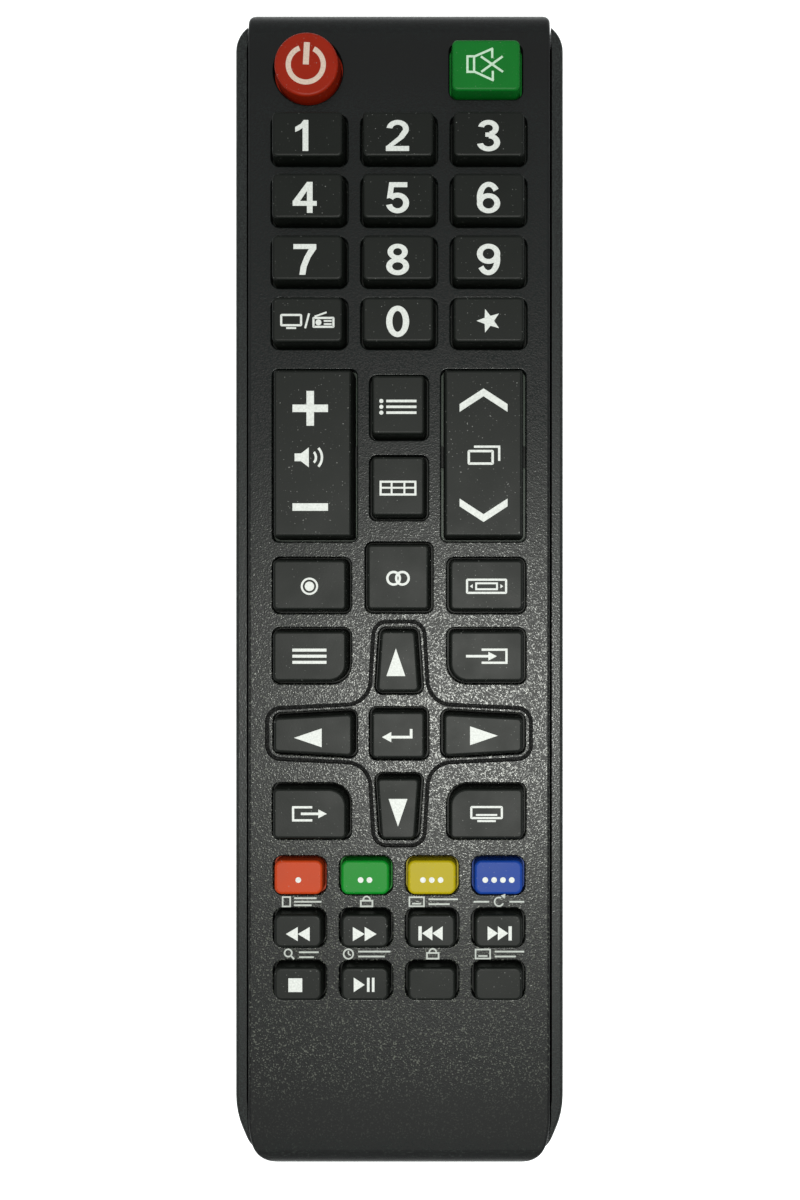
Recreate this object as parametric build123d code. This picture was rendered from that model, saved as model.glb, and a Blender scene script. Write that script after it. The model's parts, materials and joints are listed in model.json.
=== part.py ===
from build123d import *
import math
import os

# Handheld television remote control, lying on its back with the keys up.
# Millimetres. +X right, +Y towards the infrared end, +Z up out of the face, origin under the middle.

# Shells
face_length = 165.4
face_width = 43.2
face_wall = 1.8
shell_wall = 1.6
end_wall = 2.0
shell_gap = 0.2
rail_width = 1.7
rail_drop = 0.9
tray_inset = 1.3
skirt_depth = 8.7
top_corner = 1.6
bottom_corner = 4.4
bottom_lead_corner = 14.0
bottom_lead_length = 5.4
bottom_lead_width = 1.15
top_roll = 3.6
bottom_roll = 2.5
roll_runout = 0.12
rim_round = 0.45
tray_top_corner = 4.3
tray_bottom_corner = 4.0
tray_lead_corner = 12.0
tray_lead_length = 6.0
tray_lead_width = 2.6
tray_shoulder = 0.5
tray_belly = 3.6
rib_thickness = 1.2
rib_count = 6
rib_end_margin = 16.0

# Stack between the battery door and the face
door_wall = 1.5
cell_diameter = 10.5
cell_length = 44.5
cell_clearance = 0.3
ceiling_wall = 1.2
board_gap = 0.2
board_thickness = 1.2
pill_gap = 1.0
pill_thickness = 0.3
flange_thickness = 0.7
flange_gap = 0.2

# Key field, measured down from the infrared end and in from the side of the face
field_margin = 3.35
power_centre = 8.8
power_diameter = 9.9
mute_centre = 8.95
mute_inset = 0.65
mute_width = 10.4
mute_height = 8.0
number_top = 15.2
number_height = 7.3
number_gap_x = 1.9
number_gap_y = 1.42
number_corner = 1.2
rocker_centre = 63.85
rocker_width = 12.1
rocker_height = 24.6
rocker_corner = 0.9
small_inset = 0.3
middle_width = 8.35
list_gap = 1.1
middle_height = 9.25
middle_corner = 1.0
sound_width = 9.6
sound_height = 10.1
sound_centre = 81.27
side_width = 11.25
side_height = 8.0
side_corner = 1.1
record_centre = 82.4
pad_centre = 103.55
menu_offset = 11.1
menu_corner = 2.9
pad_reach_x = 18.0
pad_reach_y = 15.15
pad_key_length_x = 12.0
pad_key_length_y = 9.5
pad_key_outer = 2.85
pad_key_inner = 3.5
pad_key_corner = 1.1
enter_width = 8.4
enter_height = 7.5
groove_margin = 1.14
groove_width = 0.6
groove_depth = 0.9
groove_tip = 3.85
groove_root = 4.55
groove_tip_corner = 2.3
groove_root_corner = 3.2
small_top = 121.05
small_height = 5.55
small_gap_x = 1.91
small_gap_y = 1.92
small_corner = 1.4

# Keys
key_clearance = 0.25
flange_overhang = 0.3
mat_clearance = 0.5
key_draft = 5.0
key_round = 0.4
rocker_clearance = 0.35
hole_round = 0.2
tall_rise = 2.8
rocker_rise = 2.9
corner_rise = 2.3
small_rise = 2.3
colour_rise = 1.7
pill_radius = 2.0
small_pill_radius = 1.6
rocker_pill_offset = 8.0
pivot_radius = 1.5
ear_length = 0.6
ear_width = 3.0

# Board, mat and what carries them
board_side_gap = 0.7
board_end_gap = 3.7
board_tail = 3.2
mat_thickness = 0.9
mat_inset = 0.5
post_radius = 0.75
pin_radius = 0.45
hole_clearance = 0.2
prop_radius = 1.5

# Battery bay and contacts
cell_gap = 1.7
nub_length = 0.8
nub_radius = 1.9
bay_end_gap = 2.3
bay_side_gap = 2.35
bay_wall = 1.2
bay_floor_gap = 2.8
divider_thickness = 1.0
divider_depth = 3.6
plate_thickness = 0.4
plate_height = 8.2
plate_margin = 0.9
tail_width = 2.0
spring_length = 4.0
spring_wire = 0.5
spring_base_radius = 3.8
spring_tip_radius = 1.9
spring_half_turns = 6
door_step = 0.75
door_step_gap = 0.15
door_flange = 0.9
door_gap = 0.2
door_lip = 3.2
door_overlap = 1.4
tab_width = 5.6
tab_length = 3.4
tab_thickness = 0.7
grip_width = 13.0
grip_length = 8.0
grip_depth = 0.5
grip_ribs = 5
grip_rib_width = 0.6
grip_offset = 8.5
arrow_width = 5.0
arrow_length = 3.6
arrow_offset = 17.5

# Screw
boss_radius = 2.4
screw_radius = 1.0
screw_head_radius = 1.8
screw_head_height = 1.3
screw_slot_width = 0.5
screw_slot_depth = 0.6
thread_clearance = 0.05
thread_rest = 0.9

# Infrared end
window_width = 14.0
window_height = 3.8
window_drop = 3.8
window_corner = 0.6
window_clearance = 0.1
window_recess = 0.1
window_flange = 0.8
led_radius = 2.5
led_flange_radius = 2.9
led_flange_thickness = 1.0
led_length = 8.6
led_window_gap = 0.4
lead_width = 0.5
lead_spacing = 2.54
lead_length = 4.0
notch_width = 8.0

# Parts under the board
chip_length = 12.8
chip_width = 7.5
chip_height = 2.3
chip_leads = 10
lead_pitch = 1.27
lead_reach = 1.3
chip_centre_from_top = 34.0
resonator_width = 5.0
resonator_thickness = 2.2
resonator_height = 3.6
resonator_leg = 0.8
capacitor_radius = 2.5
capacitor_length = 7.0
capacitor_lead = 1.2
resistor_length = 2.0
resistor_width = 1.25
resistor_height = 0.55
resistor_count = 4
resistor_pitch = 3.0

# Levels, from the table up
bay_low = door_wall + cell_clearance
cell_radius = cell_diameter / 2
cell_level = bay_low + cell_radius
ceiling_low = bay_low + cell_diameter + cell_clearance
ceiling_high = ceiling_low + ceiling_wall
board_low = ceiling_high + board_gap
board_high = board_low + board_thickness
pill_low = board_high + pill_gap
flange_low = pill_low + pill_thickness
flange_high = flange_low + flange_thickness
face_under = flange_high + flange_gap
face_level = face_under + face_wall
skirt_low = face_level - skirt_depth
rail_level = face_level - rail_drop
mat_high = board_high + mat_thickness

# Plan sizes that follow
face_half = face_width / 2
end_half = face_length / 2
tray_half = face_half + shell_gap + rail_width
tray_end = end_half - tray_inset
field_half = face_half - field_margin
cell_offset = (cell_diameter + cell_gap) / 2
bay_half = cell_offset + cell_radius + bay_side_gap
bay_bottom = -tray_end + shell_wall + bay_end_gap
bay_top = bay_bottom + 2 * plate_thickness + spring_length + cell_length
bay_middle = (bay_bottom + bay_top) / 2
board_half = face_half - shell_wall - board_side_gap


def outline(points, radii):
    """Flat face inside a closed run of points, each corner rounded by its own radius."""
    return make_face(FilletPolyline(*points, radius=radii, close=True)).faces()[0]


def shell_outline(half, end, corner, lead, corner_radii):
    """Plan of one shell: square at the top end, with a tapered lead into the bottom corners."""
    points = [
        (half, end),
        (-half, end),
        (-half, lead[0] - end),
        (lead[1] - half, -end),
        (half - lead[1], -end),
        (half, lead[0] - end),
    ]
    lead_radius, bottom_radius = corner_radii
    return outline(points, [corner, corner, lead_radius, bottom_radius, bottom_radius, lead_radius])


def face_outline():
    """Plan of the front cover."""
    lead = (bottom_lead_length, bottom_lead_width)
    corners = (bottom_lead_corner, bottom_corner)
    return shell_outline(face_half, end_half, top_corner, lead, corners)


def tray_outline():
    """Plan of the rear cover."""
    lead = (tray_lead_length, tray_lead_width)
    corners = (tray_lead_corner, tray_bottom_corner)
    return shell_outline(tray_half, tray_end, tray_top_corner, lead, corners)


def grown(face, amount):
    """The same outline, larger all round by an amount, or smaller where it is negative."""
    return make_face(offset(face.outer_wire(), amount).edges()).faces()[0] if amount else face


def prism(face, low, high):
    """Upright prism of a flat outline between two levels."""
    return extrude(Pos(0, 0, low) * face, high - low)


def block(x0, x1, y0, y1, z0, z1):
    """Box between two corners."""
    box = Box(x1 - x0, y1 - y0, z1 - z0)
    return Pos((x0 + x1) / 2, (y0 + y1) / 2, (z0 + z1) / 2) * box


def rod(x, y, radius, z0, z1):
    """Upright cylinder between two levels."""
    return Pos(x, y, (z0 + z1) / 2) * Cylinder(radius, z1 - z0)


def key_box(x, y, width, height, radii):
    """Rounded rectangle, its corners given from bottom left, anticlockwise."""
    w, h = width / 2, height / 2
    points = [(x - w, y - h), (x + w, y - h), (x + w, y + h), (x - w, y + h)]
    return outline(points, radii)


def from_top(distance):
    """Y of a point that lies a distance down from the infrared end."""
    return end_half - distance


def number_keys(holes):
    """Four rows of three: the digits, with a key each side of the nought."""
    width = (2 * field_half - 2 * number_gap_x) / 3
    names = [f"number_key_{digit}" for digit in range(1, 10)]
    names += ["tv_radio_key", "number_key_0", "favourite_key"]
    for place, name in enumerate(names):
        row, column = divmod(place, 3)
        x = (column - 1) * (width + number_gap_x)
        y = from_top(number_top + number_height / 2 + row * (number_height + number_gap_y))
        holes[name] = key_box(x, y, width, number_height, [number_corner] * 4)


def side_keys(holes):
    """Left and right columns between the number keys and the small keys."""
    x = field_half - small_inset / 2 - side_width / 2
    plain = [side_corner] * 4
    record_y = from_top(record_centre)
    pad_y = from_top(pad_centre)
    holes["record_key"] = key_box(-x, record_y, side_width, side_height, plain)
    holes["aspect_key"] = key_box(x, record_y, side_width, side_height, plain)
    for name, side, level in (
        ("menu_key", -1, 1),
        ("source_key", 1, 1),
        ("exit_key", -1, -1),
        ("display_key", 1, -1),
    ):
        # The corner that faces the arrow pad is the large one.
        facing = {(-1, 1): 1, (1, 1): 0, (-1, -1): 2, (1, -1): 3}[(side, level)]
        radii = [menu_corner if corner == facing else side_corner for corner in range(4)]
        holes[name] = key_box(side * x, pad_y + level * menu_offset, side_width, side_height, radii)
    rocker_x = field_half - small_inset / 2 - rocker_width / 2
    for name, side in (("volume_rocker", -1), ("channel_rocker", 1)):
        y = from_top(rocker_centre)
        holes[name] = key_box(side * rocker_x, y, rocker_width, rocker_height, [rocker_corner] * 4)


def middle_keys(holes):
    """Middle column: two keys between the rockers, one below them and the enter key."""
    step = middle_height / 2 + list_gap
    corners = [middle_corner] * 4
    y = from_top(rocker_centre - list_gap)
    holes["record_list_key"] = key_box(0, y + step, middle_width, middle_height, corners)
    holes["guide_key"] = key_box(0, y - step, middle_width, middle_height, corners)
    holes["sound_mode_key"] = key_box(0, from_top(sound_centre), sound_width, sound_height, corners)
    holes["enter_key"] = key_box(0, from_top(pad_centre), enter_width, enter_height, corners)


def arrow_hole(direction):
    """One arrow key's outline: wide at the middle of the pad and narrower at its tip."""
    sideways = direction in ("left", "right")
    sign = 1 if direction in ("up", "right") else -1
    tip = pad_reach_x if sideways else pad_reach_y
    root = tip - (pad_key_length_x if sideways else pad_key_length_y)
    run = [(-pad_key_inner, root), (-pad_key_outer, tip), (pad_key_outer, tip), (pad_key_inner, root)]
    centre = from_top(pad_centre)
    if sideways:
        points = [(sign * along, centre + across) for across, along in run]
    else:
        points = [(across, centre + sign * along) for across, along in run]
    return outline(points, [pad_key_corner] * 4)


def small_keys(holes):
    """Three rows of four: the coloured keys, then two rows of black ones."""
    half = field_half - small_inset
    width = (2 * half - 3 * small_gap_x) / 4
    names = ["red_key", "green_key", "yellow_key", "blue_key"]
    names += ["rewind_key", "forward_key", "previous_key", "next_key"]
    names += ["stop_key", "play_pause_key", "spare_key_left", "spare_key_right"]
    for place, name in enumerate(names):
        row, column = divmod(place, 4)
        x = (column - 1.5) * (width + small_gap_x)
        y = from_top(small_top + small_height / 2 + row * (small_height + small_gap_y))
        holes[name] = key_box(x, y, width, small_height, [small_corner] * 4)
    return list(names)


def key_holes():
    """Outline of every hole in the face, by the name of its key."""
    holes = {}
    power_x = field_half - power_diameter / 2 - small_inset
    round_hole = Pos(-power_x, from_top(power_centre)) * Circle(power_diameter / 2)
    holes["power_key"] = round_hole.faces()[0]
    mute_x = field_half - mute_width / 2 - mute_inset
    mute_y = from_top(mute_centre)
    holes["mute_key"] = key_box(mute_x, mute_y, mute_width, mute_height, [number_corner] * 4)
    number_keys(holes)
    side_keys(holes)
    middle_keys(holes)
    for direction in ("up", "left", "right", "down"):
        holes[f"{direction}_key"] = arrow_hole(direction)
    small = small_keys(holes)
    return holes, small


def centre_of(face):
    """Middle of an outline's box."""
    box = face.bounding_box()
    return (box.min.X + box.max.X) / 2, (box.min.Y + box.max.Y) / 2


def rise_of(name, small):
    """Height of a key's top above the face."""
    if name in small[:4]:
        return colour_rise
    if name in small:
        return small_rise
    if name in ("power_key", "mute_key"):
        return corner_rise
    return rocker_rise if name.endswith("rocker") else tall_rise


def key_solids(name, hole, small):
    """One rubber key with its carbon pill, or two pills under a rocker."""
    rocker = name.endswith("rocker")
    x, y = centre_of(hole)
    plunger = grown(hole, -(rocker_clearance if rocker else key_clearance))
    body = prism(plunger, flange_low, face_level)
    rise = rise_of(name, small)
    top = grown(plunger, -rise * math.tan(math.radians(key_draft)))
    crown = loft([Pos(0, 0, face_level) * plunger, Pos(0, 0, face_level + rise) * top], ruled=True)
    body = body + fillet(crown.faces().sort_by(Axis.Z)[-1].edges(), key_round)
    if rocker:
        box = hole.bounding_box()
        ears = block(
            box.min.X - ear_length, box.max.X + ear_length,
            y - ear_width / 2, y + ear_width / 2,
            flange_low, flange_high,
        )
        pivot = Pos(x, y, flange_low + flange_gap) * Rot(0, 90, 0) * Cylinder(pivot_radius, ear_width)
        keep = block(x - ear_width, x + ear_width, y - ear_width, y + ear_width, 0, flange_low)
        body = body + ears + (pivot & keep)
        pills = [(x, y - rocker_pill_offset), (x, y + rocker_pill_offset)]
    else:
        body = body + prism(grown(hole, flange_overhang), flange_low, flange_high)
        pills = [(x, y)]
    radius = small_pill_radius if name in small else pill_radius
    return [body] + [rod(px, py, radius, pill_low, flange_low) for px, py in pills]


def post_places():
    """Where the face's posts pin the mat and the board, between the keys."""
    number_width = (2 * field_half - 2 * number_gap_x) / 3
    number_x = (number_width + number_gap_x) / 2
    number_y = from_top(number_top + number_height + number_gap_y / 2)
    numbers_end = number_top + 4 * number_height + 3 * number_gap_y
    rocker_y = from_top((numbers_end + rocker_centre - rocker_height / 2) / 2)
    small_width = (2 * field_half - 2 * small_inset - 3 * small_gap_x) / 4
    small_x = small_width + small_gap_x
    pad_end = pad_centre + menu_offset + side_height / 2
    small_y = from_top((pad_end + small_top) / 2)
    places = []
    for side in (-1, 1):
        places += [(side * number_x, number_y), (side * number_x, rocker_y), (side * small_x, small_y)]
    return places


def keys_end():
    """Y of the last key row's lower edge."""
    return from_top(small_top + 3 * small_height + 2 * small_gap_y)


def board_ends():
    """Y of the board's lower and upper ends."""
    return keys_end() - board_tail, end_half - end_wall - board_end_gap


def screw_place():
    """Y of the case screw: midway between the last key row and the end wall."""
    return (keys_end() - end_half + end_wall) / 2


def pad_groove():
    """Ring groove round the arrow keys."""
    centre = from_top(pad_centre)
    reach_x = pad_reach_x + groove_margin
    reach_y = pad_reach_y + groove_margin
    tip, root = groove_tip, groove_root
    quarter = [(reach_x, tip), (root, root), (tip, reach_y)]
    points = quarter + [(-x, y) for x, y in reversed(quarter)]
    points += [(-x, -y) for x, y in quarter] + [(x, -y) for x, y in reversed(quarter)]
    corners = [groove_tip_corner, groove_root_corner, groove_tip_corner] * 4
    cross = outline([(x, centre + y) for x, y in points], corners)
    ring = prism(cross, face_level - groove_depth, face_level + groove_depth)
    return ring - prism(grown(cross, -groove_width), 0, face_level + groove_depth)


def window_face(grow):
    """Outline of the infrared window, drawn upright in the end wall."""
    width, height = window_width + 2 * grow, window_height + 2 * grow
    corner = window_corner + grow
    return RectangleRounded(width, height, corner)


def window_prism(grow, y0, y1):
    """Infrared window outline pushed through the end wall from y0 to y1."""
    level = face_level - window_drop - window_height / 2
    return extrude(Plane((0, y0, level), x_dir=(-1, 0, 0), z_dir=(0, 1, 0)) * window_face(grow), y1 - y0)


def front_cover(holes):
    """Face shell: rolled ends, rounded rim, key holes, pad groove, posts, boss and window opening."""
    body = prism(face_outline(), skirt_low, face_level)
    roller = block(-tray_half, tray_half, -end_half - roll_runout, end_half + roll_runout, 0, face_level)
    across = roller.edges().filter_by(Axis.X).group_by(Axis.Z)[-1].sort_by(Axis.Y)
    roller = fillet(across[-1], top_roll)
    across = roller.edges().filter_by(Axis.X).group_by(Axis.Z)[-1].sort_by(Axis.Y)
    roller = fillet(across[0], bottom_roll)
    body = body & roller
    limit = face_level - top_roll - rim_round
    rim = [
        edge
        for edge in body.edges()
        if edge.center().Z > limit
        and not (edge.center().Z > face_level - 0.001 and abs((edge % 0.5).X) > 0.999)
        and abs((edge % 0.5).Z) < 0.999
    ]
    body = fillet(rim, rim_round)
    for hole in holes.values():
        body -= prism(hole, skirt_low, face_level + 1)
    top = body.faces().filter_by(Axis.Z).sort_by(Axis.Z)[-1]
    body = fillet([edge for wire in top.inner_wires() for edge in wire.edges()], hole_round)
    hollow = prism(grown(face_outline(), -shell_wall), skirt_low - 1, face_under)
    inside = end_half - end_wall
    body -= hollow & block(-face_half, face_half, -inside, inside, 0, face_level)
    body -= pad_groove()
    for x, y in post_places():
        body += rod(x, y, post_radius, board_high, face_under)
        body += rod(x, y, pin_radius, board_low, board_high)
    y = screw_place()
    body += rod(0, y, boss_radius, ceiling_high, face_under)
    body -= rod(0, y, screw_radius + thread_clearance, ceiling_high, face_level - thread_rest)
    body -= window_prism(0, end_half - 2 * end_wall, end_half + 1)
    return [body]


def tray_body(inset, low):
    """Rear cover's outer form, or the same form drawn in by a wall."""
    body = prism(grown(tray_outline(), -inset), low, rail_level)
    belly = tray_belly - inset
    return fillet(body.faces().sort_by(Axis.Z)[0].edges(), belly)


def door_length_ends():
    """Y of the battery door's two ends."""
    return -tray_end, bay_top + door_overlap


def rear_cover():
    """Tray with its side rails, seat ribs, board props, battery bay and door opening."""
    body = tray_body(0, 0)
    shoulder = body.faces().sort_by(Axis.Z)[-1].edges()
    body = fillet(shoulder, tray_shoulder)
    body -= tray_body(shell_wall, shell_wall)
    body -= prism(grown(tray_outline(), -shell_wall), cell_level, face_level)
    body -= prism(grown(face_outline(), shell_gap), skirt_low, face_level)
    seat = face_half + shell_gap
    span = end_half - rib_end_margin
    half = rib_thickness / 2
    for place in range(rib_count):
        y = -span + 2 * span * place / (rib_count - 1)
        for side in (-1, 1):
            near, far = sorted((side * (face_half - shell_wall), side * (seat + rail_width / 2)))
            body += block(near, far, y - half, y + half, tray_belly, skirt_low)
    body += battery_bay()
    low, high = door_length_ends()
    width = bay_half - door_flange + door_gap
    body -= block(-width, width, low - 1, high + door_gap, -1, door_step)
    body -= block(-bay_half, bay_half, low - 1, high + door_gap, door_step, bay_floor_gap)
    body -= block(-bay_half, bay_half, low - 1, bay_bottom - bay_wall, door_step, door_lip + door_gap)
    for x, y in prop_places():
        body += rod(x, y, prop_radius, shell_wall / 2, board_low)
    return [body]


def prop_places():
    """Where the rear cover's props carry the board."""
    low = bay_top + door_overlap + 3 * prop_radius
    high = board_ends()[1] - 4 * prop_radius
    x = board_half - 2 * prop_radius
    return [(side * x, y) for side in (-1, 1) for y in (low, (low + high) / 2, high)]


def battery_bay():
    """Walls, ceiling, cradle ribs and divider of the battery bay."""
    outer = bay_half + bay_wall
    y0, y1 = bay_bottom - bay_wall, bay_top + bay_wall
    bay = block(-outer, outer, y0, y1, shell_wall / 2, ceiling_high)
    bay -= block(-bay_half, bay_half, bay_bottom, bay_top, 0, ceiling_low)
    bay -= block(-bay_half, bay_half, y0, y1, 0, bay_floor_gap)
    rib_x = cell_offset + cell_radius + cell_clearance
    half = rib_thickness / 2
    for y in (bay_middle - cell_length / 4, bay_middle + cell_length / 4):
        for side in (-1, 1):
            near, far = sorted((side * rib_x, side * (bay_half + bay_wall / 2)))
            bay += block(near, far, y - half, y + half, bay_floor_gap, ceiling_high)
    back, front = bay_bottom + spring_length, bay_top - spring_length
    half = divider_thickness / 2
    bay += block(-half, half, back, front, ceiling_low - divider_depth, ceiling_high)
    y = screw_place()
    bay -= rod(0, y, screw_head_radius + cell_clearance, cell_level, ceiling_low)
    bay -= rod(0, y, screw_radius + hole_clearance, ceiling_low, ceiling_high)
    for side in (-1, 1):
        half_tail = tail_width / 2 + hole_clearance
        x = side * cell_offset
        slot = plate_thickness + hole_clearance
        bay -= block(x - half_tail, x + half_tail, bay_top - slot, bay_top, cell_level, ceiling_high)
    return bay


def battery_door():
    """Sliding door: stepped edges, curved end lip, front tab, thumb grip and an arrow."""
    low, high = door_length_ends()
    width = bay_half - door_flange
    step = door_step + door_step_gap
    slab = block(-width, width, low - 1, high, -1, door_lip)
    slab += block(door_gap - bay_half, bay_half - door_gap, low - 1, high, step, door_lip)
    door = tray_body(0, 0) & slab
    door -= tray_body(door_wall, door_wall)
    tab_low = shell_wall + door_gap
    back, front, half = high - tab_length / 2, high + tab_length / 2, tab_width / 2
    door += block(-half, half, back, front, tab_low, tab_low + tab_thickness)
    door += block(-half, half, back, high, door_wall / 2, tab_low)
    y = high - grip_offset
    grip = prism(RectangleRounded(grip_width, grip_length, grip_length / 2 - grip_depth), -1, grip_depth)
    half = grip_rib_width / 2
    for place in range(grip_ribs):
        x = (place - (grip_ribs - 1) / 2) * grip_width / (grip_ribs + 1)
        grip -= block(x - half, x + half, -grip_length, grip_length, -1, grip_depth)
    door -= Pos(0, y, 0) * grip
    tip = high - arrow_offset
    half = arrow_width / 2
    arrow = Polyline((0, tip - arrow_length), (half, tip), (-half, tip), close=True)
    door -= prism(make_face(arrow), -1, grip_depth)
    return [door]


def keypad_mat(holes):
    """Rubber sheet over the board, open under every key and round the posts."""
    low, high = board_ends()
    half = board_half - mat_inset
    sheet = block(-half, half, low + mat_inset, high - mat_inset, board_high, mat_high)
    for hole in holes.values():
        sheet -= prism(grown(hole, mat_clearance), board_high - 1, mat_high + 1)
    for x, y in post_places():
        sheet -= rod(x, y, post_radius + hole_clearance, board_high, mat_high)
    sheet -= led_notch(board_high, mat_high)
    sheet -= rod(0, screw_place(), boss_radius + hole_clearance, board_high, mat_high)
    return [sheet]


def led_notch(low, high):
    """Room for the infrared emitter in the top end of the board and the mat."""
    back = led_base() - lead_length / 4
    return block(-notch_width / 2, notch_width / 2, back, end_half, low, high)


def led_base():
    """Y of the infrared emitter's flat back."""
    return end_half - end_wall - window_flange - led_window_gap - led_length


def circuit_board():
    """Board with its notch, pin holes, contact slots and boss hole."""
    low, high = board_ends()
    board = block(-board_half, board_half, low, high, board_low, board_high)
    for x, y in post_places():
        board -= rod(x, y, pin_radius + hole_clearance, board_low, board_high)
    board -= led_notch(board_low, board_high)
    board -= rod(0, screw_place(), boss_radius + hole_clearance, board_low, board_high)
    half = tail_width / 2 + hole_clearance
    back, front = bay_top - plate_thickness - hole_clearance, bay_top + hole_clearance
    for side in (-1, 1):
        x = side * cell_offset
        board -= block(x - half, x + half, back, front, board_low, board_high)
    return [board]


def infrared_emitter():
    """Domed emitter lying behind the window, its leads soldered under the board."""
    base = led_base()
    level = board_low - lead_width / 2
    straight = led_length - led_radius
    along = Pos(0, base, level) * Rot(-90, 0, 0)
    body = along * Pos(0, 0, straight / 2) * Cylinder(led_radius, straight)
    body += along * Pos(0, 0, led_flange_thickness / 2) * Cylinder(led_flange_radius, led_flange_thickness)
    body += along * Pos(0, 0, straight) * Sphere(led_radius)
    for side in (-1, 1):
        x = side * lead_spacing / 2
        half = lead_width / 2
        body += block(x - half, x + half, base - lead_length, base + half, level - half, board_low)
    return [body]


def infrared_window():
    """Dark window in the end wall, with a flange inside it."""
    inside = end_half - end_wall
    pane = window_prism(-window_clearance, inside, end_half - window_recess)
    return [pane + window_prism(window_flange, inside - window_flange, inside)]


def controller_chip():
    """Chip under the board, with a row of bent leads on each long side."""
    y = from_top(chip_centre_from_top)
    high = board_low - hole_clearance
    low = high - chip_height
    body = block(-chip_length / 2, chip_length / 2, y - chip_width / 2, y + chip_width / 2, low, high)
    thin = lead_width / 2
    shoulder = high - chip_height / 2
    bend = lead_reach / 2
    bars = [
        (-thin, bend, shoulder, shoulder + thin),
        (bend - thin, bend, shoulder, board_low),
        (bend - thin, lead_reach, board_low - thin, board_low),
    ]
    for place in range(chip_leads):
        x = (place - (chip_leads - 1) / 2) * lead_pitch
        for side in (-1, 1):
            edge = y + side * chip_width / 2
            for start, stop, bottom, top in bars:
                near, far = sorted((edge + side * start, edge + side * stop))
                body += block(x - thin / 2, x + thin / 2, near, far, bottom, top)
    return [body]


def ceramic_resonator():
    """Small dipped block on two legs under the board."""
    x = -board_half / 2
    y = from_top(chip_centre_from_top) + 2 * chip_width
    high = board_low - resonator_leg
    body = block(
        x - resonator_width / 2, x + resonator_width / 2,
        y - resonator_thickness / 2, y + resonator_thickness / 2,
        high - resonator_height, high,
    )
    body = fillet(body.edges(), resonator_thickness / 4)
    half = lead_width / 2
    for side in (-1, 1):
        leg = x + side * lead_spacing / 2
        body += block(leg - half, leg + half, y - half, y + half, high - resonator_leg, board_low)
    return [body]


def storage_capacitor():
    """Capacitor lying under the board, with two bent leads."""
    x = board_half / 2
    y = from_top(chip_centre_from_top) + 2 * chip_width
    level = board_low - capacitor_radius - hole_clearance
    can = Pos(x, y, level) * Rot(90, 0, 0) * Cylinder(capacitor_radius, capacitor_length)
    can = fillet(can.edges().filter_by(GeomType.CIRCLE), capacitor_radius / 6)
    end = y - capacitor_length / 2
    tip = end - capacitor_lead
    half = lead_width / 2
    for side in (-1, 1):
        lead = x + side * lead_spacing / 2
        can += block(lead - half, lead + half, tip, end + half, level - half, level + half)
        can += block(lead - half, lead + half, tip, tip + lead_width, level, board_low)
    return [can]


def board_resistors():
    """Row of chip resistors under the board, each with raised end caps."""
    y = from_top(chip_centre_from_top) - 1.5 * chip_width
    back, front = y - resistor_width / 2, y + resistor_width / 2
    cap = resistor_length / 5
    thin = resistor_height / 10
    solids = []
    for place in range(resistor_count):
        x = (place - (resistor_count - 1) / 2) * resistor_pitch
        low = board_low - resistor_height
        half = resistor_length / 2 - cap / 2
        body = block(x - half, x + half, back, front, low, board_low - thin)
        for side in (-1, 1):
            near, far = sorted((x + side * (resistor_length / 2 - cap), x + side * resistor_length / 2))
            body += block(near, far, back, front, low - thin, board_low)
        solids.append(body)
    return solids


def battery_cell():
    """One cell on its axis along +Y, its flat end at the origin: can, crimp groove and nub."""
    can_length = cell_length - nub_length
    can = Rot(-90, 0, 0) * Pos(0, 0, can_length / 2) * Cylinder(cell_radius, can_length)
    can = fillet(can.edges().filter_by(GeomType.CIRCLE), cell_radius / 12)
    nub = Rot(-90, 0, 0) * Pos(0, 0, can_length + nub_length / 2) * Cylinder(nub_radius, nub_length)
    nub = fillet(nub.edges().filter_by(GeomType.CIRCLE).sort_by(Axis.Y)[-1], nub_radius / 6)
    return can + nub


def turned(shape):
    """The same piece turned half a turn about the middle of the bay."""
    return Pos(0, bay_middle, 0) * Rot(0, 0, 180) * Pos(0, -bay_middle, 0) * shape


def left_cell():
    """Cell on the left, its nub towards the infrared end."""
    return Pos(-cell_offset, bay_bottom + plate_thickness + spring_length, cell_level) * battery_cell()


def contact_spring():
    """Conical spring on the lower contact plate, wound as tilted half turns that meet smoothly."""
    wire = spring_wire / 2
    start = bay_bottom + plate_thickness
    climb_turns = spring_half_turns - 2
    climb = (spring_length - spring_wire) / climb_turns
    path, line = [], []
    for turn in range(spring_half_turns):
        side = 1 if turn % 2 == 0 else -1
        points = []
        for share, bend in ((0, 0), (0.5, 1), (1, 0)):
            at = turn + share
            shrink = (spring_base_radius - spring_tip_radius) * at / spring_half_turns
            radius = spring_base_radius - shrink
            advance = wire + climb * min(max(at - 1, 0), climb_turns)
            points.append((side * (1 - 2 * share) * radius if bend == 0 else 0, advance, radius, bend))
        first, middle, last = points
        centre = ((first[0] + last[0]) / 2, (first[1] + last[1]) / 2)
        half = math.dist(first[:2], last[:2]) / 2
        bulge = (centre[0], centre[1], side * half)
        ends = [(point[0] - cell_offset, start + point[1], cell_level) for point in (first, last)]
        top = (bulge[0] - cell_offset, start + bulge[1], cell_level + bulge[2])
        path.append(ThreePointArc(ends[0], top, ends[1]))
        line += [path[-1] @ (step / 24) for step in range(24)]
    gap = min(
        (line[a] - line[b]).length
        for a in range(len(line))
        for b in range(a + 30, len(line))
    )
    print("spring: least gap between turns", round(gap - spring_wire, 3), "mm")
    wires = Wire(path)
    begin = Plane(origin=wires @ 0, z_dir=wires % 0)
    return sweep(begin * Circle(wire), path=wires)


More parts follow.
